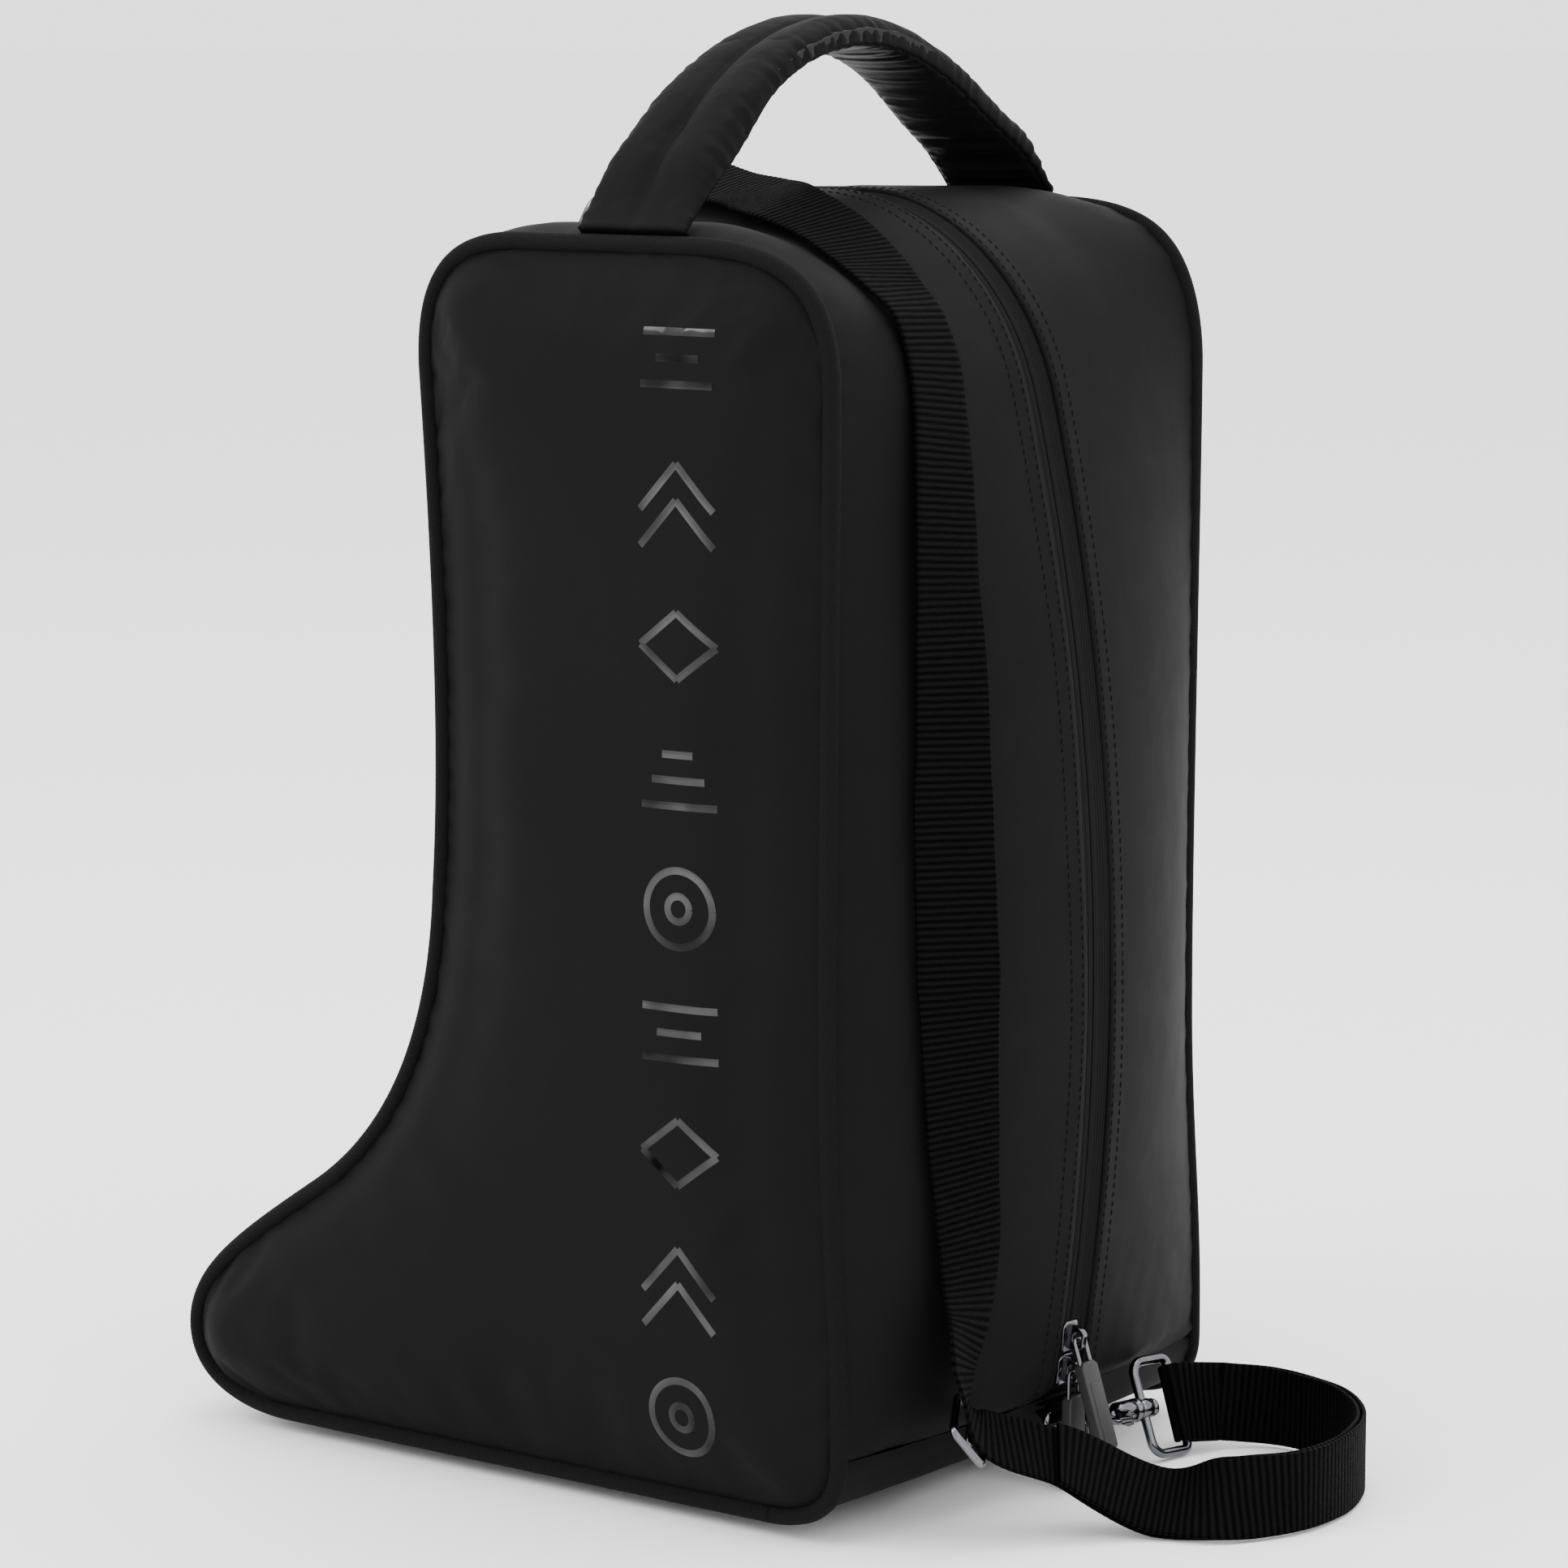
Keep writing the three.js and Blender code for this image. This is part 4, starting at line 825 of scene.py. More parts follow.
# rim curve, crown curve, samples, fullness of the swell at each end
STRETCHES = [
    (line((113, F), (-138, F)), line((113, B), (-138, B)), 70, (2, 2)),
    (
        bezier((-138, F), (-172, F), (-196, 18), (-194.5, 42)),
        bezier((-138, B), (-174, B), (-199, 17), (-198, 43)),
        36,
        (2, 2),
    ),
    (
        bezier((-194.5, 42), (-193, 66), (-165, 84), (-122, 112)),
        bezier((-198, 43), (-197, 72), (-168, 93), (-126, 121)),
        36,
        (2, 2),
    ),
    (
        bezier((-122, 112), (-84, 137), (-60, 178), (-57, 240)),
        bezier((-126, 121), (-92, 144), (-70, 182), (-67, 240)),
        50,
        (2, 2),
    ),
    (
        bezier((-57, 240), (-53, 290), (-54, 350), (-61.5, 450)),
        bezier((-67, 240), (-64, 290), (-68, 360), (-76, 450)),
        60,
        (2, 3),
    ),
    (
        bezier((-61.5, 450), (-63, 486), (-48, TOP), (-10, TOP)),
        bezier((-76, 450), (-79, 488), (-58, 512), (-10, 518)),
        36,
        (3, 4),
    ),
    (line((-10, TOP), (70, TOP)), line((-10, 518), (60, 519.5)), 28, (4, 4)),
    (
        bezier((70, TOP), (118, TOP), (146, 494), (146, 446)),
        bezier((60, 519.5), (96, 518.5), (139, 491), (zip_x(440), 440)),
        44,
        (4, 2),
    ),
    (bezier((146, 446), (146, 380), (143.5, 240), (144.5, 170)), zip_arc(440, 170), 90, (2, 2)),
    (bezier((144.5, 170), (145.5, 120), (150, 90), (150, 46)), zip_arc(170, 41.5), 42, (2, 2)),
    (line((150, 46), (150, HEEL_SEAM)), line((zip_x(41.5), 41.5), (152, 33.5)), 6, (2, 2)),
    (
        bezier((150, HEEL_SEAM), (150, 17), (138, F), (113, F)),
        bezier((152, 33.5), (147, 18), (135, B), (113, B)),
        22,
        (2, 2),
    ),
]


def even_curve(curve, count):
    fine = curve(np.linspace(0, 1, 400))
    length = run_lengths(fine)
    even = np.linspace(0, length[-1], count, endpoint=False)
    return np.stack([np.interp(even, length, fine[:, k]) for k in range(2)], 1)


rim_points, crown_points, fullness = [], [], []
starts = [0]
for rim_curve, crown_curve, count, full in STRETCHES:
    rim_points.append(even_curve(rim_curve, count))
    crown_points.append(even_curve(crown_curve, count))
    fullness.append(np.linspace(full[0], full[1], count, endpoint=False))
    starts.append(starts[-1] + count)
RIM = np.vstack(rim_points)
CROWN = np.vstack(crown_points)
FULL = np.concatenate(fullness)
COUNT = len(RIM)
rim_tangent = tangents(RIM, closed=True)
OUT = np.stack([-rim_tangent[:, 1], rim_tangent[:, 0]], 1)
TOE_SEAM, BACK_SEAM = starts[2], starts[11]
TOP_SEAM = starts[6] - round(4 * 36 / 7)


def blurred(values, width):
    kernel = np.hanning(2 * width + 3)[1:-1]
    kernel /= kernel.sum()
    padded = np.concatenate([values[-width:], values, values[:width]])
    return np.convolve(padded, kernel, "valid")


for k in range(2):
    CROWN[:, k] = blurred(CROWN[:, k], 3)


def smoothstep(x, low, high):
    t = np.clip((x - low) / (high - low), 0, 1)
    return t * t * (3 - 2 * t)


HOLLOW = {"depth": 14, "y": -66, "width": 30, "fades": (-75, -10)}
RISE = {"height": 9, "from": 65}


def settled(points):
    """The strap lies in a hollow of the near half of the top, and the far side stands higher."""
    x, y, z = points[..., 0], points[..., 1], points[..., 2]
    level = smoothstep(z, 455, 510) * (1 - smoothstep(z, 524, 560))
    across = np.exp(-(((y - HOLLOW["y"]) / HOLLOW["width"]) ** 2))
    hollow = HOLLOW["depth"] * smoothstep(x, *HOLLOW["fades"]) * across
    rise = RISE["height"] * smoothstep(y, RISE["from"], SEAM_Y)
    moved_points = points.copy()
    moved_points[..., 2] += level * (rise - hollow)
    return moved_points


def wavy(length, seed, scale, octaves=3):
    """Smooth random values along a run, about -1 to 1; length in millimetres."""
    rng = np.random.default_rng(seed)
    out = np.zeros(len(length))
    for k in range(octaves):
        for _ in range(3):
            wave = scale / 1.7**k * rng.uniform(0.7, 1.4)
            out += np.sin(2 * math.pi * length / wave + rng.uniform(0, 6.3)) / (3 * 1.6**k)
    return out


def soft_field(a, b, seed, scale):
    """Smooth random values over a surface with coordinates a and b in millimetres."""
    rng = np.random.default_rng(seed)
    out = np.zeros(np.broadcast(a, b).shape)
    for _ in range(9):
        angle = rng.uniform(0, 2 * math.pi)
        wave = scale * rng.uniform(0.6, 1.8)
        phase = rng.uniform(0, 2 * math.pi)
        out += np.sin(2 * math.pi * (a * math.cos(angle) + b * math.sin(angle)) / wave + phase)
    return out / 9


def band_points(start, end, ys, depth=0.0, wrinkle=1.0, seed=1):
    """A fabric band between stations start and end, at the given places across it."""
    index = np.arange(start, end + 1) % COUNT
    ys = np.asarray(ys, float)
    edge = RIM[index] - OUT[index] * 3.2
    middle = CROWN[index]
    swell = 1 - np.abs(ys[None] / SEAM_Y) ** FULL[index][:, None]
    p = edge[:, None] * (1 - swell[..., None]) + middle[:, None] * swell[..., None]
    along = run_lengths(middle) * 1000
    near_seam = np.exp(-(SEAM_Y - np.abs(ys)) / 9.0)
    pucker = wavy(along, seed, 17.0)[:, None] * near_seam[None] * 0.5
    dents = soft_field(along[:, None], ys[None], seed + 5, 150.0) * 1.3
    from_end = np.minimum(along, along[-1] - along)[:, None]
    tuck = 1.3 * np.exp(-from_end / 1.6) - 0.5 * np.exp(-((from_end - 5) ** 2) / 8)
    creases = soft_field(along[:, None] * 0.6, ys[None], seed + 50, 24.0) * 1.3 * np.exp(-from_end / 28)
    lift = wrinkle * (pucker + (dents + creases) * (1 - near_seam[None]) - tuck) - depth
    p = p + OUT[index][:, None] * lift[..., None]
    return np.stack([p[..., 0], np.broadcast_to(ys, p.shape[:2]), p[..., 1]], -1), along


OUT_OF_BAG = away_from(20, 0, 200)


def band_object(name, points, along, ys, material):
    across = np.concatenate([[0], np.cumsum(np.abs(np.diff(ys)))])
    uv = uv_grid(along / 1000, across / 1000)
    return facing(grid_object(name, settled(points), material, uv=uv), OUT_OF_BAG)


def out_normals(start, end):
    """The way out of the bag at the stations of a run, as points in X and Z."""
    t = tangents(CROWN[np.arange(start, end + 1) % COUNT])
    return np.stack([-t[:, 1], t[:, 0]], 1)


def push_out(points, normal, amount):
    points[..., 0] += normal[:, :1] * amount
    points[..., 2] += normal[:, 1:] * amount


EDGE_Y = SEAM_Y - 1.0
across_full = EDGE_Y * np.sin(np.linspace(-math.pi / 2, math.pi / 2, 74))

points, along = band_points(TOE_SEAM, TOP_SEAM, across_full, seed=11)
near_ring = 1 - smoothstep(along, along[-1] - 90, along[-1] - 45)[:, None, None]
held = edges_of(points.shape[:2], 2, 2)
filled = swollen(points, held, OUT_OF_BAG, 3.0, 0.014, 3.0)
points = points + (filled - points) * near_ring
front = band_object("front_panel", points, along, across_full, FABRIC)
placed(front, "bag", "coated_fabric", "front_gusset")

points, along = band_points(BACK_SEAM, COUNT + TOE_SEAM, across_full, seed=12, wrinkle=0.5)
base = band_object("base_wrap", points, along, across_full, FABRIC)
placed(base, "bag", "coated_fabric", "base_panel")

# Each half of the back ends at a folded lip beside the zip.
LIP = 9.0
LIP_PLACES = [LIP, LIP + 0.5, LIP + 1.6, LIP + 3.2, LIP + 5, LIP + 8, LIP + 12]
LIP_RISE = [-0.9, -0.1, 0.25, 0.3, 0.25, 0.1, 0]
for side, sign in (("left", -1), ("right", 1)):
    lip = [LIP + 0.8, LIP + 0.2, LIP, LIP + 0.5, LIP + 1.6, LIP + 3.2]
    lip_lift = [-3.7, -2.4, -0.9, -0.1, 0.25, 0.3]
    flat = np.linspace(LIP + 5, EDGE_Y, 46)
    ys = np.concatenate([lip, flat])
    points, along = band_points(TOP_SEAM, BACK_SEAM, sign * ys, seed=13 + sign)
    lift = np.concatenate([lip_lift, np.interp(flat, [LIP + 5, LIP + 8, LIP + 12], [0.25, 0.1, 0])])
    gather = 0.22 * wavy(along, 31 + sign, 9.0)[:, None] * np.exp(-(ys - LIP) / 6.0)[None]
    push_out(points, out_normals(TOP_SEAM, BACK_SEAM), lift[None] + gather)
    half = band_object(f"back_panel_{side}", points, along, sign * ys, FABRIC)
    placed(half, "bag", "coated_fabric", f"rear_gusset_{side}")

# ---- zip: two tapes that meet over the coil --------------------------------------------------------


def tape_points(start, end, ys, depth, profile):
    points, along = band_points(start, end, ys, depth, wrinkle=0.0)
    flat, _ = band_points(start, end, np.zeros(len(ys)), depth, wrinkle=0.0)
    points[..., 0], points[..., 2] = flat[..., 0], flat[..., 2]
    push_out(points, out_normals(start, end), profile[None])
    return points, along


for side, sign in (("left", -1), ("right", 1)):
    ys = np.array([0.25, 0.3, 0.6, 1.1, 2.0, 3.0, 3.6, 4.4, 6, 8, 10, 12.5])
    rise = np.array([-1.6, -0.6, 0.1, 0.35, 0.42, 0.3, 0.0, -0.12, 0.4, 1.5, 1.9, 1.9])
    points, along = tape_points(TOP_SEAM + 2, BACK_SEAM, sign * ys, 3.4, rise)
    tape = band_object(f"zip_tape_{side}_cloth", points, along, sign * ys, TAPE)
    placed(tape, "bag", "zip_tape", f"zip_tape_{side}")

# ---- stitching ---------------------------------------------------------------------------------------


def stitch_row(points, normals, pitch=3.8, length=3.4, width=0.42, sink=0.1):
    """Short threads lying along a run, each dipping into the cloth at its ends."""
    run = run_lengths(points) * 1000
    starts_at = np.arange(0.5, run[-1] - length, pitch)
    verts, faces = [], []
    bump = [(0.0, -0.35), (0.2, 0.12), (0.5, 0.28), (0.8, 0.12), (1.0, -0.35)]
    for s in starts_at:
        places = [s + f * length for f, _ in bump]
        at = np.stack([np.interp(places, run, points[:, k]) for k in range(3)], 1)
        up = unit(np.stack([np.interp(places, run, normals[:, k]) for k in range(3)], 1))
        side = unit(np.cross(unit(at[-1] - at[0]), up))
        base_index = len(verts)
        for (f, h), p, u, sd in zip(bump, at, up, side):
            slant = 0.4 * (f - 0.5)
            for a in (0, 1, 2, 3, 4, 5):
                c, d = math.cos(a * math.pi / 3), math.sin(a * math.pi / 3)
                verts.append(p + u * (h - sink + d * width / 2) + sd * (c * width / 2 + slant))
        faces += grid_faces(len(bump), 6, closed_columns=True, base=base_index)
    return np.array(verts), faces


def merged(name, shapes, material):
    """One piece from many (points, faces) pairs."""
    verts, faces, base = [], [], 0
    for points, own_faces in shapes:
        verts.append(points)
        faces += [tuple(i + base for i in face) for face in own_faces]
        base += len(points)
    return make_mesh(name, np.vstack(verts), faces, material, np.zeros((base, 2)))


def stitches(name, rows):
    return placed(merged(name, rows, THREAD), "bag", "piping_twill")


def zip_side_row(y):
    points, _ = band_points(TOP_SEAM + 1, BACK_SEAM - 1, np.array([y]), wrinkle=0.0)
    reference, _ = band_points(TOP_SEAM, BACK_SEAM, np.array([y]), seed=13 + int(np.sign(y)))
    points[:, 0] = reference[1:-1, 0]
    normal2 = out_normals(TOP_SEAM + 1, BACK_SEAM - 1)
    normal = np.stack([normal2[:, 0], np.zeros(len(normal2)), normal2[:, 1]], 1)
    rise = np.interp([abs(y)] * len(normal), LIP_PLACES, LIP_RISE)
    return stitch_row(settled(points[:, 0] + normal * rise[..., None]), normal)


stitches("back_stitching", [zip_side_row(y) for y in (-LIP - 3.6, -LIP - 10.5, LIP + 2.4, LIP + 9.0)])

# ---- side panels -------------------------------------------------------------------------------------


def inset(distance):
    return RIM - OUT * distance


def rim_distance(x, z):
    best = np.full(np.shape(x), 1e9)
    for a, b in zip(RIM[::2], np.roll(RIM[::2], -1, 0)):
        d = b - a
        t = np.clip(((x - a[0]) * d[0] + (z - a[1]) * d[1]) / (d @ d), 0, 1)
        best = np.minimum(best, np.hypot(x - a[0] - t * d[0], z - a[1] - t * d[1]))
    return best


def crossings(points, z):
    a, b = points, np.roll(points, -1, 0)
    hit = (a[:, 1] > z) != (b[:, 1] > z)
    a, b = a[hit], b[hit]
    xs = a[:, 0] + (z - a[:, 1]) / (b[:, 1] - a[:, 1]) * (b[:, 0] - a[:, 0])
    return xs.min(), xs.max()


def panel_grid(rows=150, columns=90, extra=()):
    outline = inset(6.6)
    low, high = outline[:, 1].min() + 0.05, outline[:, 1].max() - 0.05
    ease = (1 - np.cos(np.linspace(0, math.pi, rows))) / 2
    spread = 0.55 * ease + 0.45 * np.linspace(0, 1, rows)
    across = (1 - np.cos(np.linspace(0, math.pi, columns))) / 2
    levels = np.unique(np.concatenate([low + (high - low) * spread, extra]))
    grid = np.zeros((len(levels), columns, 2))
    for r, z in enumerate(levels):
        x0, x1 = crossings(outline, z)
        grid[r, :, 0] = x0 + (x1 - x0) * across
        grid[r, :, 1] = z
    return grid


def panel_height(x, z, distance, edge, seed):
    """How far a side panel stands out from the seam plane."""
    t = np.clip((distance - 6.4) / (edge + 2), 0, 1)
    height = 1.0 + DOME * (1 - (1 - t) ** 2)
    gentle = np.clip((distance - 20) / 60, 0, 1)
    height = height + 0.9 * gentle - 0.4
    puckers = 0.35 * soft_field(x, z, seed + 9, 15.0) * np.exp(-((distance - 9) / 5) ** 2)
    return height + soft_field(x, z, seed, 170.0) * 1.1 * t + puckers


POCKET_Z = 396.0
POCKET_ENDS = (-28.0, 133.0)
POCKET_TAPE = 132.3 - SEAM_Y  # height of the tapes over the seam plane
PANELS = {"left": (-1, 20, 39), "right": (1, 12, 41)}
PANEL_PIECES = {}


def pocket_groove(x, z, height):
    """The pocket's opening: two folded lips with the zip's tapes below them."""
    ends = smoothstep(x, POCKET_ENDS[0] - 1.5, POCKET_ENDS[0]) * (
        1 - smoothstep(x, POCKET_ENDS[1], POCKET_ENDS[1] + 1.5)
    )
    inside = (1 - smoothstep(np.abs(z - POCKET_Z), 6.9, 8.0)) * ends
    lip = 0.7 * np.exp(-(((np.abs(z - POCKET_Z) - 9.6) / 1.6) ** 2)) * ends
    return (height + lip) * (1 - inside) + (POCKET_TAPE - 1.6) * inside


for side, (sign, edge, seed) in PANELS.items():
    extra = np.arange(384.0, 408.1, 0.6) if side == "right" else ()
    plane = panel_grid(extra=extra, columns=130 if side == "right" else 90)
    x, z = plane[..., 0], plane[..., 1]
    height = panel_height(x, z, rim_distance(x, z), edge, seed)
    if side == "right":
        height = pocket_groove(x, z, height)
    points = np.stack([x, sign * (SEAM_Y + height), z], -1)
    held = edges_of(x.shape, 2, 2)
    if side == "right":
        held |= (np.abs(z - POCKET_Z) < 18) | ((x > 100) & (z > 325) & (z < POCKET_Z))
    outward = towards(0, sign, 0)
    points = swollen(points, held, outward, 3.0, 0.005, 4.0)
    panel = grid_object(f"side_{side}", settled(points), FABRIC, uv=plane / 1000)
    facing(panel, outward)
    PANEL_PIECES[side] = placed(panel, "bag", "coated_fabric", f"side_panel_{side}")

for side, sign in (("left", -1), ("right", 1)):
    centre = even_loop(np.stack([inset(4)[:, 0], np.full(COUNT, sign * SEAM_Y), inset(4)[:, 1]], 1), 900)
    up = np.broadcast_to(np.array([0, 1.0, 0]), centre.shape)
    along = run_lengths(np.vstack([centre, centre[:1]]))
    grid = sweep(centre, up, circle(PIPING_RADIUS - 0.35, 16), closed=True)
    uv = uv_grid(along[:-1], np.linspace(0, 0.025, 16))
    pipe = grid_object(f"piping_{side}_tape", settled(grid), PIPING, True, True, uv)
    placed(pipe, "bag", "piping_twill", f"piping_{side}")

# ---- pocket ------------------------------------------------------------------------------------------

for side, sign in (("upper", 1), ("lower", -1)):
    across = np.array([0.2, 0.3, 0.6, 1.1, 2.0, 3.0, 3.6, 4.4, 6, 8.2])
    rise = np.array([-1.4, -0.5, 0.1, 0.35, 0.42, 0.3, 0.0, -0.12, -0.1, 0])
    along = np.linspace(POCKET_ENDS[0] - 2, POCKET_ENDS[1] + 2, 60)
    points = np.zeros((60, len(across), 3))
    points[..., 0] = along[:, None]
    points[..., 1] = SEAM_Y + POCKET_TAPE + rise[None]
    points[..., 2] = POCKET_Z + sign * across[None]
    tape = grid_object(f"pocket_tape_{side}", points, TAPE)
    facing(tape, towards(0, 1.0, 0))
    placed(tape, "bag", "zip_tape", f"pocket_zip_tape_{side}")


def pocket_row(z):
    x = np.linspace(POCKET_ENDS[0], POCKET_ENDS[1], 120)
    height = panel_height(x, np.full(120, z), rim_distance(x, np.full(120, z)), 12, 41)
    height = pocket_groove(x, z, height)
    points = np.stack([x, SEAM_Y + height, np.full(120, z)], 1)
    return stitch_row(points, np.broadcast_to([0, 1.0, 0], points.shape))


stitches("pocket_stitching", [pocket_row(POCKET_Z - 10.4), pocket_row(POCKET_Z + 10.4)])

# ---- sliders and pulls -------------------------------------------------------------------------------

HINGE_LIFT = 1.9
SHIELD = [(6.5, 3.2), (4.5, 5.5), (-5, 4.6), (-6.5, 3.4), (-6.5, -3.4), (-5, -4.6), (4.5, -5.5), (6.5, -3.2)]
QUARTER = np.array([[1, 0, 0, 0], [0, 0, -1, 0], [0, 1, 0, 0], [0, 0, 0, 1]], float)


def quadratic(a, b, c, count=10):
    t = np.linspace(0, 1, count)[:, None]
    a, b, c = np.array(a, float), np.array(b, float), np.array(c, float)
    return (a * (1 - t) ** 2 + 2 * b * t * (1 - t) + c * t * t).tolist()


def ellipse(cx, cy, rx, ry, count=28):
    return [(cx + rx * x, cy + ry * y) for x, y in circle(1.0, count)]


def slider(name, frame_matrix, body, node):
    shield = extruded("shield", SHIELD, 1.5, frame_matrix @ offset((0, 0, -3)), METAL, 0.45)
    under = extruded("under", SHIELD, 1.2, frame_matrix @ offset((0, 0, -8.3)), METAL, 0.3)
    neck_outline = [(1, -0.7), (5, -0.7), (5, 0.7), (1, 0.7)]
    neck = extruded("neck", neck_outline, 5.4, frame_matrix @ offset((0, 0, -5.5)), METAL, 0.1)
    arch = [(-5, -3), (5, -3)] + quadratic((5, -3), (5.4, 5), (1.5, 5))[1:]
    arch += quadratic((-1.5, 5), (-5.4, 5), (-5, -3))[:-1]
    window = ellipse(0, HINGE_LIFT - 0.2, 3.1, 1.9)
    bridge = extruded("bridge", arch, 2.6, frame_matrix @ QUARTER, METAL, 0.4, holes=[window])
    joined(name, [shield, under, neck, bridge], body, "gunmetal", node)


def rubber_tab(name, outline, thickness, frame_matrix, body, node, holes=()):
    slab = extruded(name, outline, thickness, frame_matrix, RUBBER, 0.7, holes, 4)
    x = [p[0] for p in outline]
    panel_outline = []
    x0, x1, half = min(x) + 8.5, max(x) - 2.6, 3.2
    left, right, top, bottom = x0 + 1, x1 - 1, half - 1, 1 - half
    corners = [(right, top, 0), (left, top, 90), (left, bottom, 180), (right, bottom, 270)]
    for cx, cy, turn in corners:
        panel_outline += arc(cx, cy, 1, turn, turn + 90, 6)
    faces = [
        extruded("face", panel_outline, 0.7, frame_matrix @ offset((0, 0, z)), RUBBER, 0.3)
        for z in (-thickness / 2, thickness / 2)
    ]
    return joined(name, [slab, *faces], body, "pull_rubber", node)


def zip_angle(z):
    return math.asin((z - ZIP_CENTRE[1]) / ZIP_RADIUS)


PULL_OUTLINE = [(9.5, -3.5), (11.5, -5.5), (44, -5.5), *quadratic((44, -5.5), (46, -5.5), (46, -3.5), 5)]
PULL_OUTLINE += [(46, 3.5), *quadratic((46, 3.5), (46, 5.5), (44, 5.5), 5)[1:], (11.5, 5.5), (9.5, 3.5)]
for place, height, lean in (("lower", 48.5, 0.0), ("upper", 62.5, 18.0)):
    turn = zip_angle(height)
    face = np.array([zip_x(height), 0, height])
    outward = np.array([math.cos(turn), 0, math.sin(turn)])
    up = np.array([-math.sin(turn), 0, math.cos(turn)])
    matrix = np.eye(4)
    matrix[:3, 0], matrix[:3, 1], matrix[:3, 2], matrix[:3, 3] = up, np.cross(outward, up), outward, face
    slider(f"slider_{place}", matrix, f"slider_{place}", f"zip_slider_{place}")
    tilt = math.radians(lean)
    hinge = face + outward * HINGE_LIFT
    pull = basis(hinge, [math.sin(tilt), 0, -math.cos(tilt)], [0, 1, 0])
    chain = wire_loop(f"pull_link_{place}_wire", rounded_frame(0, 12.5, 3.6, 1.4, 1.4), 0.9, pull)
    placed(chain, f"pull_{place}", "gunmetal", f"pull_link_{place}")
    rubber_tab(f"pull_tab_{place}_rubber", PULL_OUTLINE, 4.5, pull, f"pull_{place}", f"pull_tab_{place}")

RING = 6.0
pocket_face = np.array([126.3, 136.4, POCKET_Z])
pocket_matrix = basis(pocket_face, [1, 0, 0], [0, 0, -1])
slider("pocket_slider_body", pocket_matrix, "pocket_slider", "pocket_slider")
ring_centre = pocket_face + np.array([0, HINGE_LIFT + RING, 0])
ring_points = np.array([(RING * y, RING * z, 0.0) for y, z in circle(1.0, 60)])
ring_matrix = basis(ring_centre, [0, 1, 0], [0, 0, 1])
pull_ring = wire_loop("pocket_ring", ring_points, 0.9, ring_matrix)
placed(pull_ring, "pocket_pull", "gunmetal", "pocket_pull_ring")
tab_outline = [(-3, -2.5), (2, -5.5), (43, -5.5), *quadratic((43, -5.5), (45, -5.5), (45, -3.5), 5)]
tab_outline += [(45, 3.5), *quadratic((45, 3.5), (45, 5.5), (43, 5.5), 5)[1:], (2, 5.5), (-3, 2.5)]
tab_matrix = basis(ring_centre - np.array([0, 0, RING]), [0, 0, -1], [1, 0, 0])
rubber_tab(
    "pocket_tab",
    tab_outline,
    4.0,
    tab_matrix,
    "pocket_pull",
    "pocket_pull_tab",
    holes=[ellipse(0.3, 0, 1.9, 1.6)],
)

# ---- feet --------------------------------------------------------------------------------------------

FEET = {"toe_left": (-147, -88), "toe_right": (-147, 88), "heel_left": (100, -88), "heel_right": (100, 88)}
FOOT_PROFILE = [(0.02, 0.1), (0, 1.5), (0.02, 6.8), (0.35, 8), (1.1, 8.8), (3.1, 9), (4, 8.4), (5.2, 7.4)]
FOOT_PROFILE += [(5.3, 2.5), (16.4, 2.5), (16.4, 5.3), (17.6, 5), (18, 0.1)]
for place, (x, y) in FEET.items():
    upright = basis([x, y, 0], [0, 0, 1], [0, 1, 0])
    foot = lathe(f"foot_{place}_rubber", FOOT_PROFILE, upright, FOOT, 40)
    placed(foot, "bag", "foot_rubber", f"foot_{place}")

# ---- handle ------------------------------------------------------------------------------------------

HANDLE_X = 45.5
HANDLE_FOOT = 125.5
HANDLE_RISE = 72.0
HANDLE_APEX = 578.5
PAD_HEIGHT = 9.6
VALLEY = 0.42  # how high the stitched groove is, of the height of the pads
OUT_OF_HANDLE = away_from(HANDLE_X, 0, 480)


def handle_frame(rows, reach=1.0):
    """Centre line of the handle, the way out from it, how thick and how wide it is."""
    s = np.linspace(-reach, reach, rows)
    y = s * HANDLE_FOOT
    z = HANDLE_APEX - HANDLE_RISE * s * s
    slope = -2 * HANDLE_RISE * s / HANDLE_FOOT
    normal = unit(np.stack([np.zeros(rows), -slope, np.ones(rows)], 1))
    thin = 0.2 + 0.8 * smoothstep(1 - np.abs(s), 0, 0.2)
    half = 22.0 + 4.5 * smoothstep(np.abs(s), 0.25, 0.95)
    centre = np.stack([np.full(rows, HANDLE_X), y, z], 1)
    return centre, normal, thin, half


def pad_section(count=44):
    """Upper outline of the handle from its front edge to its rear one: two pads and a groove."""
    u = np.sin(np.linspace(-math.pi / 2, math.pi / 2, count))
    w = np.abs(2 * np.abs(u) - 1)
    fall = np.sqrt(np.maximum(0, 1 - w**3.0))
    inner = PAD_HEIGHT * (VALLEY + (1 - VALLEY) * fall)
    outer = PAD_HEIGHT * (0.05 + 0.95 * fall)
    stitch_dip = 0.8 * np.exp(-((u / 0.03) ** 2))
    return u, np.where(np.abs(u) < 0.5, inner, outer) - stitch_dip


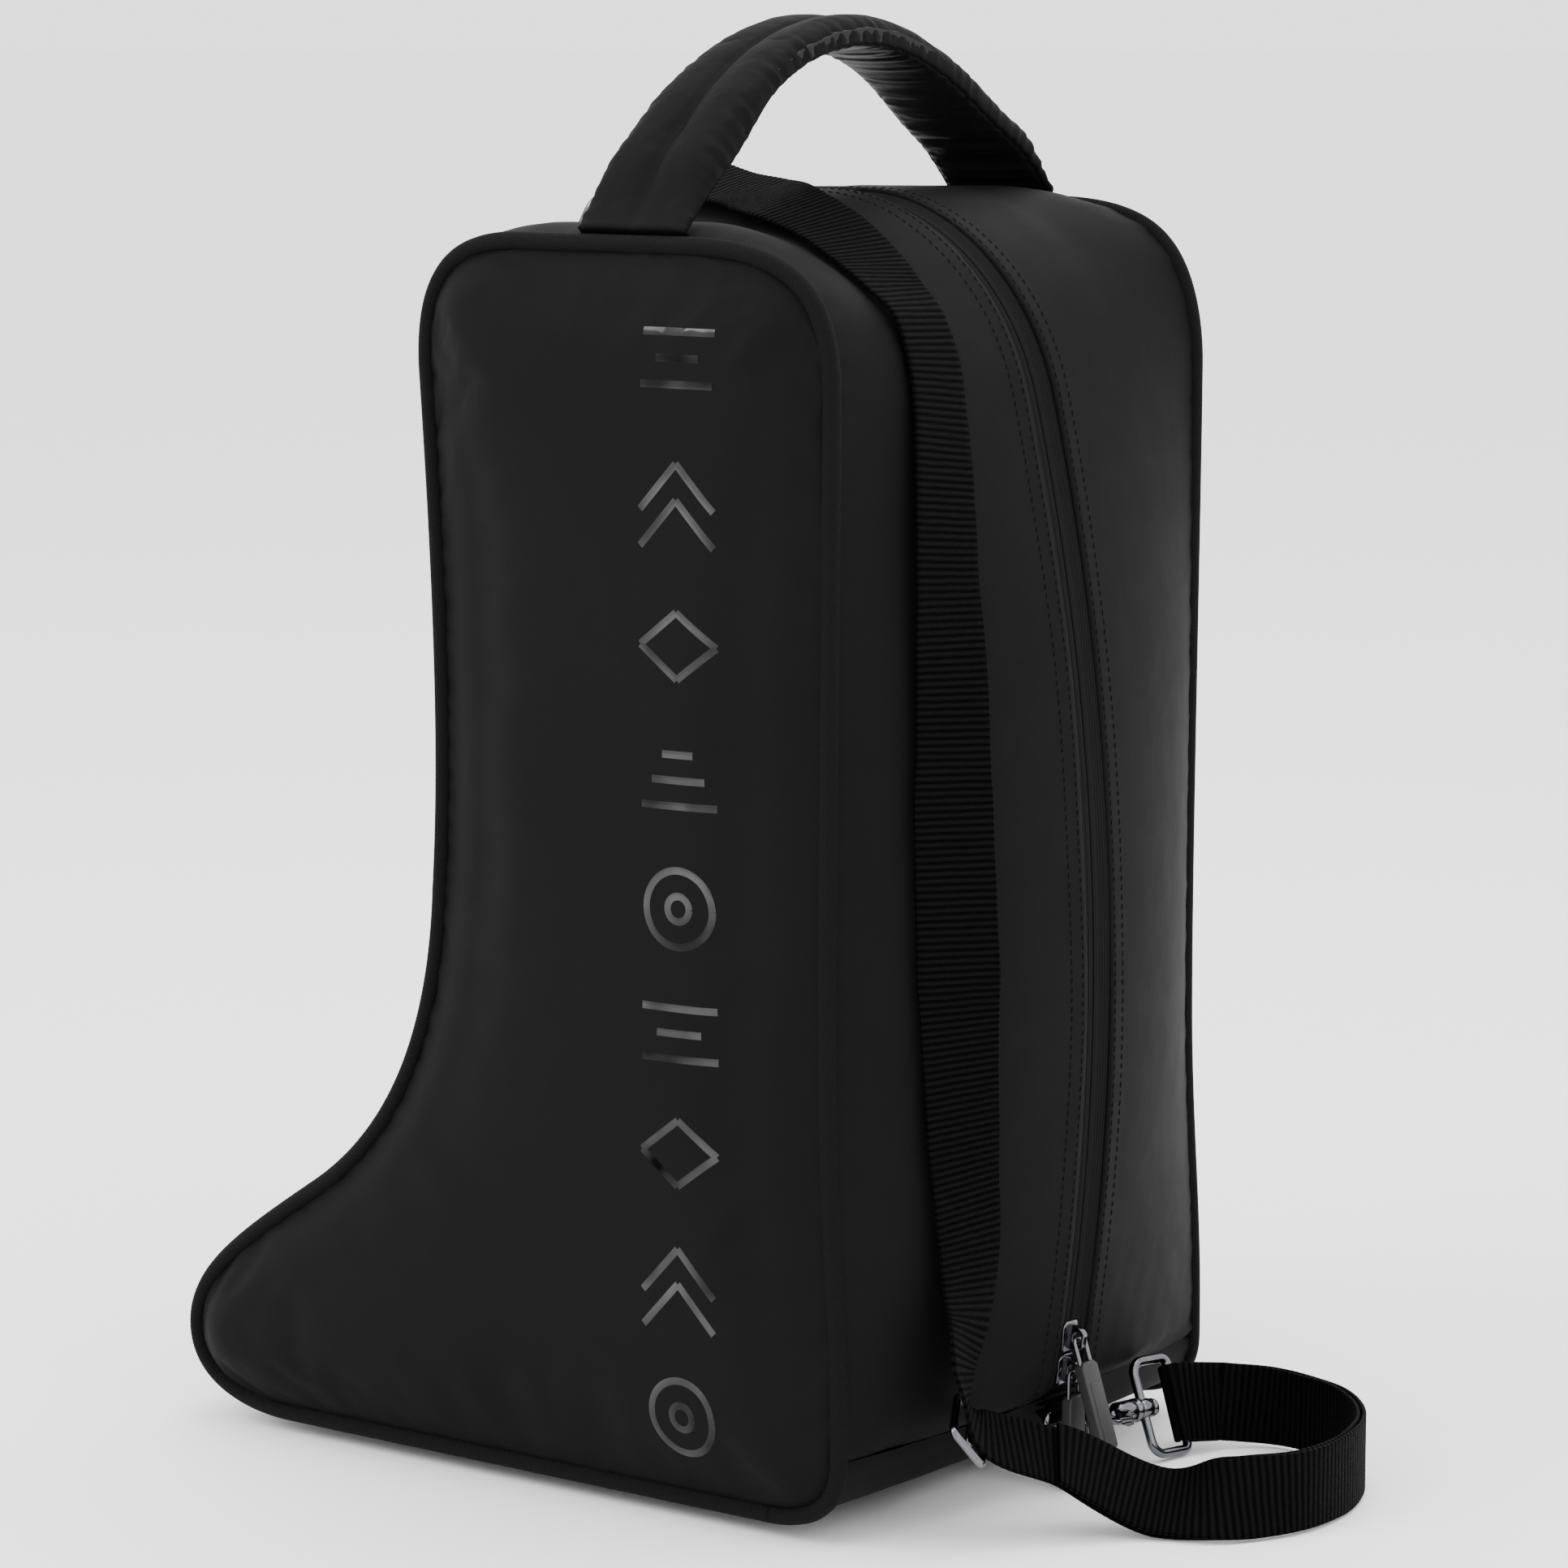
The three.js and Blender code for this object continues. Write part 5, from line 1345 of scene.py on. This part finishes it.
rows = 220
centre, normal, thin, half = handle_frame(rows)
along = run_lengths(centre) * 1000
u, top = pad_section()
turned = np.array([(1.0, 0.0), (0.985, -1.2), (0.94, -1.9), (0.86, -1.6), (0.72, -0.9)])
section_u = np.concatenate([-turned[::-1, 0], u[1:-1], turned[:, 0]])
section_h = np.concatenate([turned[::-1, 1], top[1:-1], turned[:, 1]])
edge_wave = 0.55 * wavy(along, 71, 9.0)[:, None] * np.abs(section_u[None]) ** 8
folds = 0.12 * wavy(along, 72, 34.0)[:, None] * (1 - np.abs(section_u[None]) ** 6)
heights = section_h[None] * np.where(section_h[None] > 0, thin[:, None], 1.0) + folds + edge_wave
across = section_u[None] * (half[:, None] + 0.8 * edge_wave)
points = centre[:, None] + normal[:, None] * heights[..., None]
points[..., 0] += across
held = edges_of(points.shape[:2], 5, 5) | (np.abs(section_u[None]) < 0.04)
points = swollen(points, held, OUT_OF_HANDLE, 5.0, 0.004, 1.5, 1.0)
skirt = [points[[end]] - normal[end] * depth for end, depth in ((0, 5.0), (0, 2.0), (-1, 2.0), (-1, 5.0))]
points = np.concatenate([*skirt[:2], points, *skirt[2:]])
grip = grid_object("handle_grip_cover", settled(points), FABRIC)
facing(grip, OUT_OF_HANDLE)
placed(grip, "bag", "coated_fabric", "handle_cover")

centre, normal, thin, half = handle_frame(rows, 0.985)
along = run_lengths(centre) * 1000
under_u = np.linspace(-0.97, 0.97, 30)
gathers = wavy(along, 73, 8.5)[:, None]
near_edge = np.abs(under_u[None]) ** 3
belly = -1.1 - 3.2 * np.sqrt(np.maximum(0, 1 - under_u[None] ** 2))
heights = belly + 0.75 * gathers * near_edge + 0.5 * wavy(along, 74, 14.0)[:, None] * (1 - near_edge)
heights[:, [0, -1]] = 0.6
across = under_u[None] * (half[:, None] + 0.9 * gathers * near_edge)
points = centre[:, None] + normal[:, None] * heights[..., None]
points[..., 0] += across
under = grid_object("handle_lining", settled(points), LINING)
facing(under, lambda points: -OUT_OF_HANDLE(points))
placed(under, "bag", "lining_cloth", "handle_underside")

centre, normal, thin, half = handle_frame(rows, 0.99)
groove = centre + normal * (PAD_HEIGHT * VALLEY * thin - 0.75)[:, None]
edge_rows = []
for sign in (-1, 1):
    edge = centre + normal * (-1.9)
    edge[:, 0] += sign * 0.9 * half
    edge_rows.append(stitch_row(settled(edge), -normal))
stitches("handle_stitching", [stitch_row(settled(groove), normal), *edge_rows])

# ---- glossy marks on the near side ---------------------------------------------------------------------


def stroke(path, width=3.0, step=1.2, closed=False):
    """A thin glossy band on the near side panel along a path of (x, z) points."""
    p = np.array(path, float)
    if closed:
        p = np.vstack([p, p[:1]])
    length = run_lengths(p) * 1000
    count = max(2, int(length[-1] / step))
    even = np.linspace(0, length[-1], count)
    line_points = np.stack([np.interp(even, length, p[:, k]) for k in range(2)], 1)
    t = tangents(line_points)
    side = np.stack([-t[:, 1], t[:, 0]], 1)
    offsets = np.linspace(-width / 2, width / 2, 5)
    flat = line_points[:, None] + side[:, None] * offsets[None, :, None]
    rise = np.array([0.03, 0.14, 0.14, 0.14, 0.03])
    return np.array([[on_near_side(x, z, r) for (x, z), r in zip(row, rise)] for row in flat])


def on_near_side(x, z, rise):
    """The point of the near side panel at x and z, lifted a little off it."""
    start = Vector(metres([x, -SEAM_Y - 60, z]))
    place = PANEL_PIECES["left"].ray_cast(start, Vector((0, 1, 0)))[1]
    return np.array(place) * 1000 - SHIFT - np.array([0, rise, 0])


def marks(centre_x, centre_z, shape):
    at = lambda points: [(centre_x + x, centre_z + z) for x, z in points]
    if shape == "ring":
        return [stroke(at(circle(15, 60)), closed=True), stroke(at(circle(5, 30)), closed=True)]
    if shape == "chevron":
        return [
            stroke(at([(-17, z - 9), (0, z + 9)]))
            for z in (-7, 7)
        ] + [stroke(at([(0, z + 9), (17, z - 9)])) for z in (-7, 7)]
    if shape == "diamond":
        corners = [(-17, 0), (0, 13), (17, 0), (0, -13)]
        return [stroke(at([a, b])) for a, b in zip(corners, corners[1:] + corners[:1])]
    lengths = {"bars": (17, 10, 17), "steps": (17, 12, 7)}[shape]
    return [stroke(at([(-x, z), (x, z)])) for x, z in zip(lengths, (-10, 0, 10))]


MARKS_X = 80.0
MARKS = ["bars", "chevron", "diamond", "steps", "ring", "bars", "diamond", "chevron", "ring"]
MARK_HEIGHTS = [459, 403, 349, 297, 247, 198, 151, 97, 45]
strips = [
    (strip.reshape(-1, 3), grid_faces(*strip.shape[:2]))
    for shape, height in zip(MARKS, MARK_HEIGHTS)
    for strip in marks(MARKS_X, height, shape)
]
print_marks = merged("print_marks", strips, VINYL)
facing(print_marks, towards(0, -1.0, 0))
placed(print_marks, "bag", "coated_fabric")

# ---- CAD solids that stay, with finer materials -----------------------------------------------------------

STAYING = {
    "lining_left": LINING,
    "lining_right": LINING,
    "pocket_pouch": LINING,
    "zip_coil_left": TAPE,
    "zip_coil_right": TAPE,
    "hook_pin_lower": METAL,
    "hook_pin_upper": METAL,
    "base_board": BOARD,
    "handle_core_front": FOAM,
    "handle_core_rear": FOAM,
}
for node, material in STAYING.items():
    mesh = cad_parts[node].data
    mesh.materials.clear()
    mesh.materials.append(material)

# ---- floor and light ---------------------------------------------------------------------------------

floor_material = Nodes("floor", (0.97, 0.97, 0.97), 0.8, specular=0.05)
bpy.ops.mesh.primitive_circle_add(vertices=96, radius=150, fill_type="NGON", location=(0, 0, -0.0005))
floor = bpy.context.object
floor.name = "floor"
floor.data.materials.append(floor_material.material)

world = bpy.data.worlds.new("studio")
bpy.context.scene.world = world
world.use_nodes = True
world.node_tree.nodes["Background"].inputs["Color"].default_value = (1, 1, 1, 1)
world.node_tree.nodes["Background"].inputs["Strength"].default_value = 2.2


def area_light(name, location, target, size, power):
    light = bpy.data.objects.new(name, bpy.data.lights.new(name, "AREA"))
    bpy.context.scene.collection.objects.link(light)
    light.location = location
    aim = Vector(target) - Vector(location)
    light.rotation_euler = aim.to_track_quat("-Z", "Y").to_euler()
    light.data.shape = "RECTANGLE"
    light.data.size, light.data.size_y = size
    light.data.energy = power


LIGHTS = {
    "key": ((-1.2, -2.4, 2.2), (0, 0, 0.3), (1.6, 1.6), 60),
    "rim": ((2.6, -0.4, 1.8), (0, 0, 0.3), (1.0, 2.0), 14),
    "top": ((0.2, 0.4, 2.8), (0, 0, 0.2), (1.8, 1.8), 50),
}
for name, settings in LIGHTS.items():
    area_light(name, *settings)
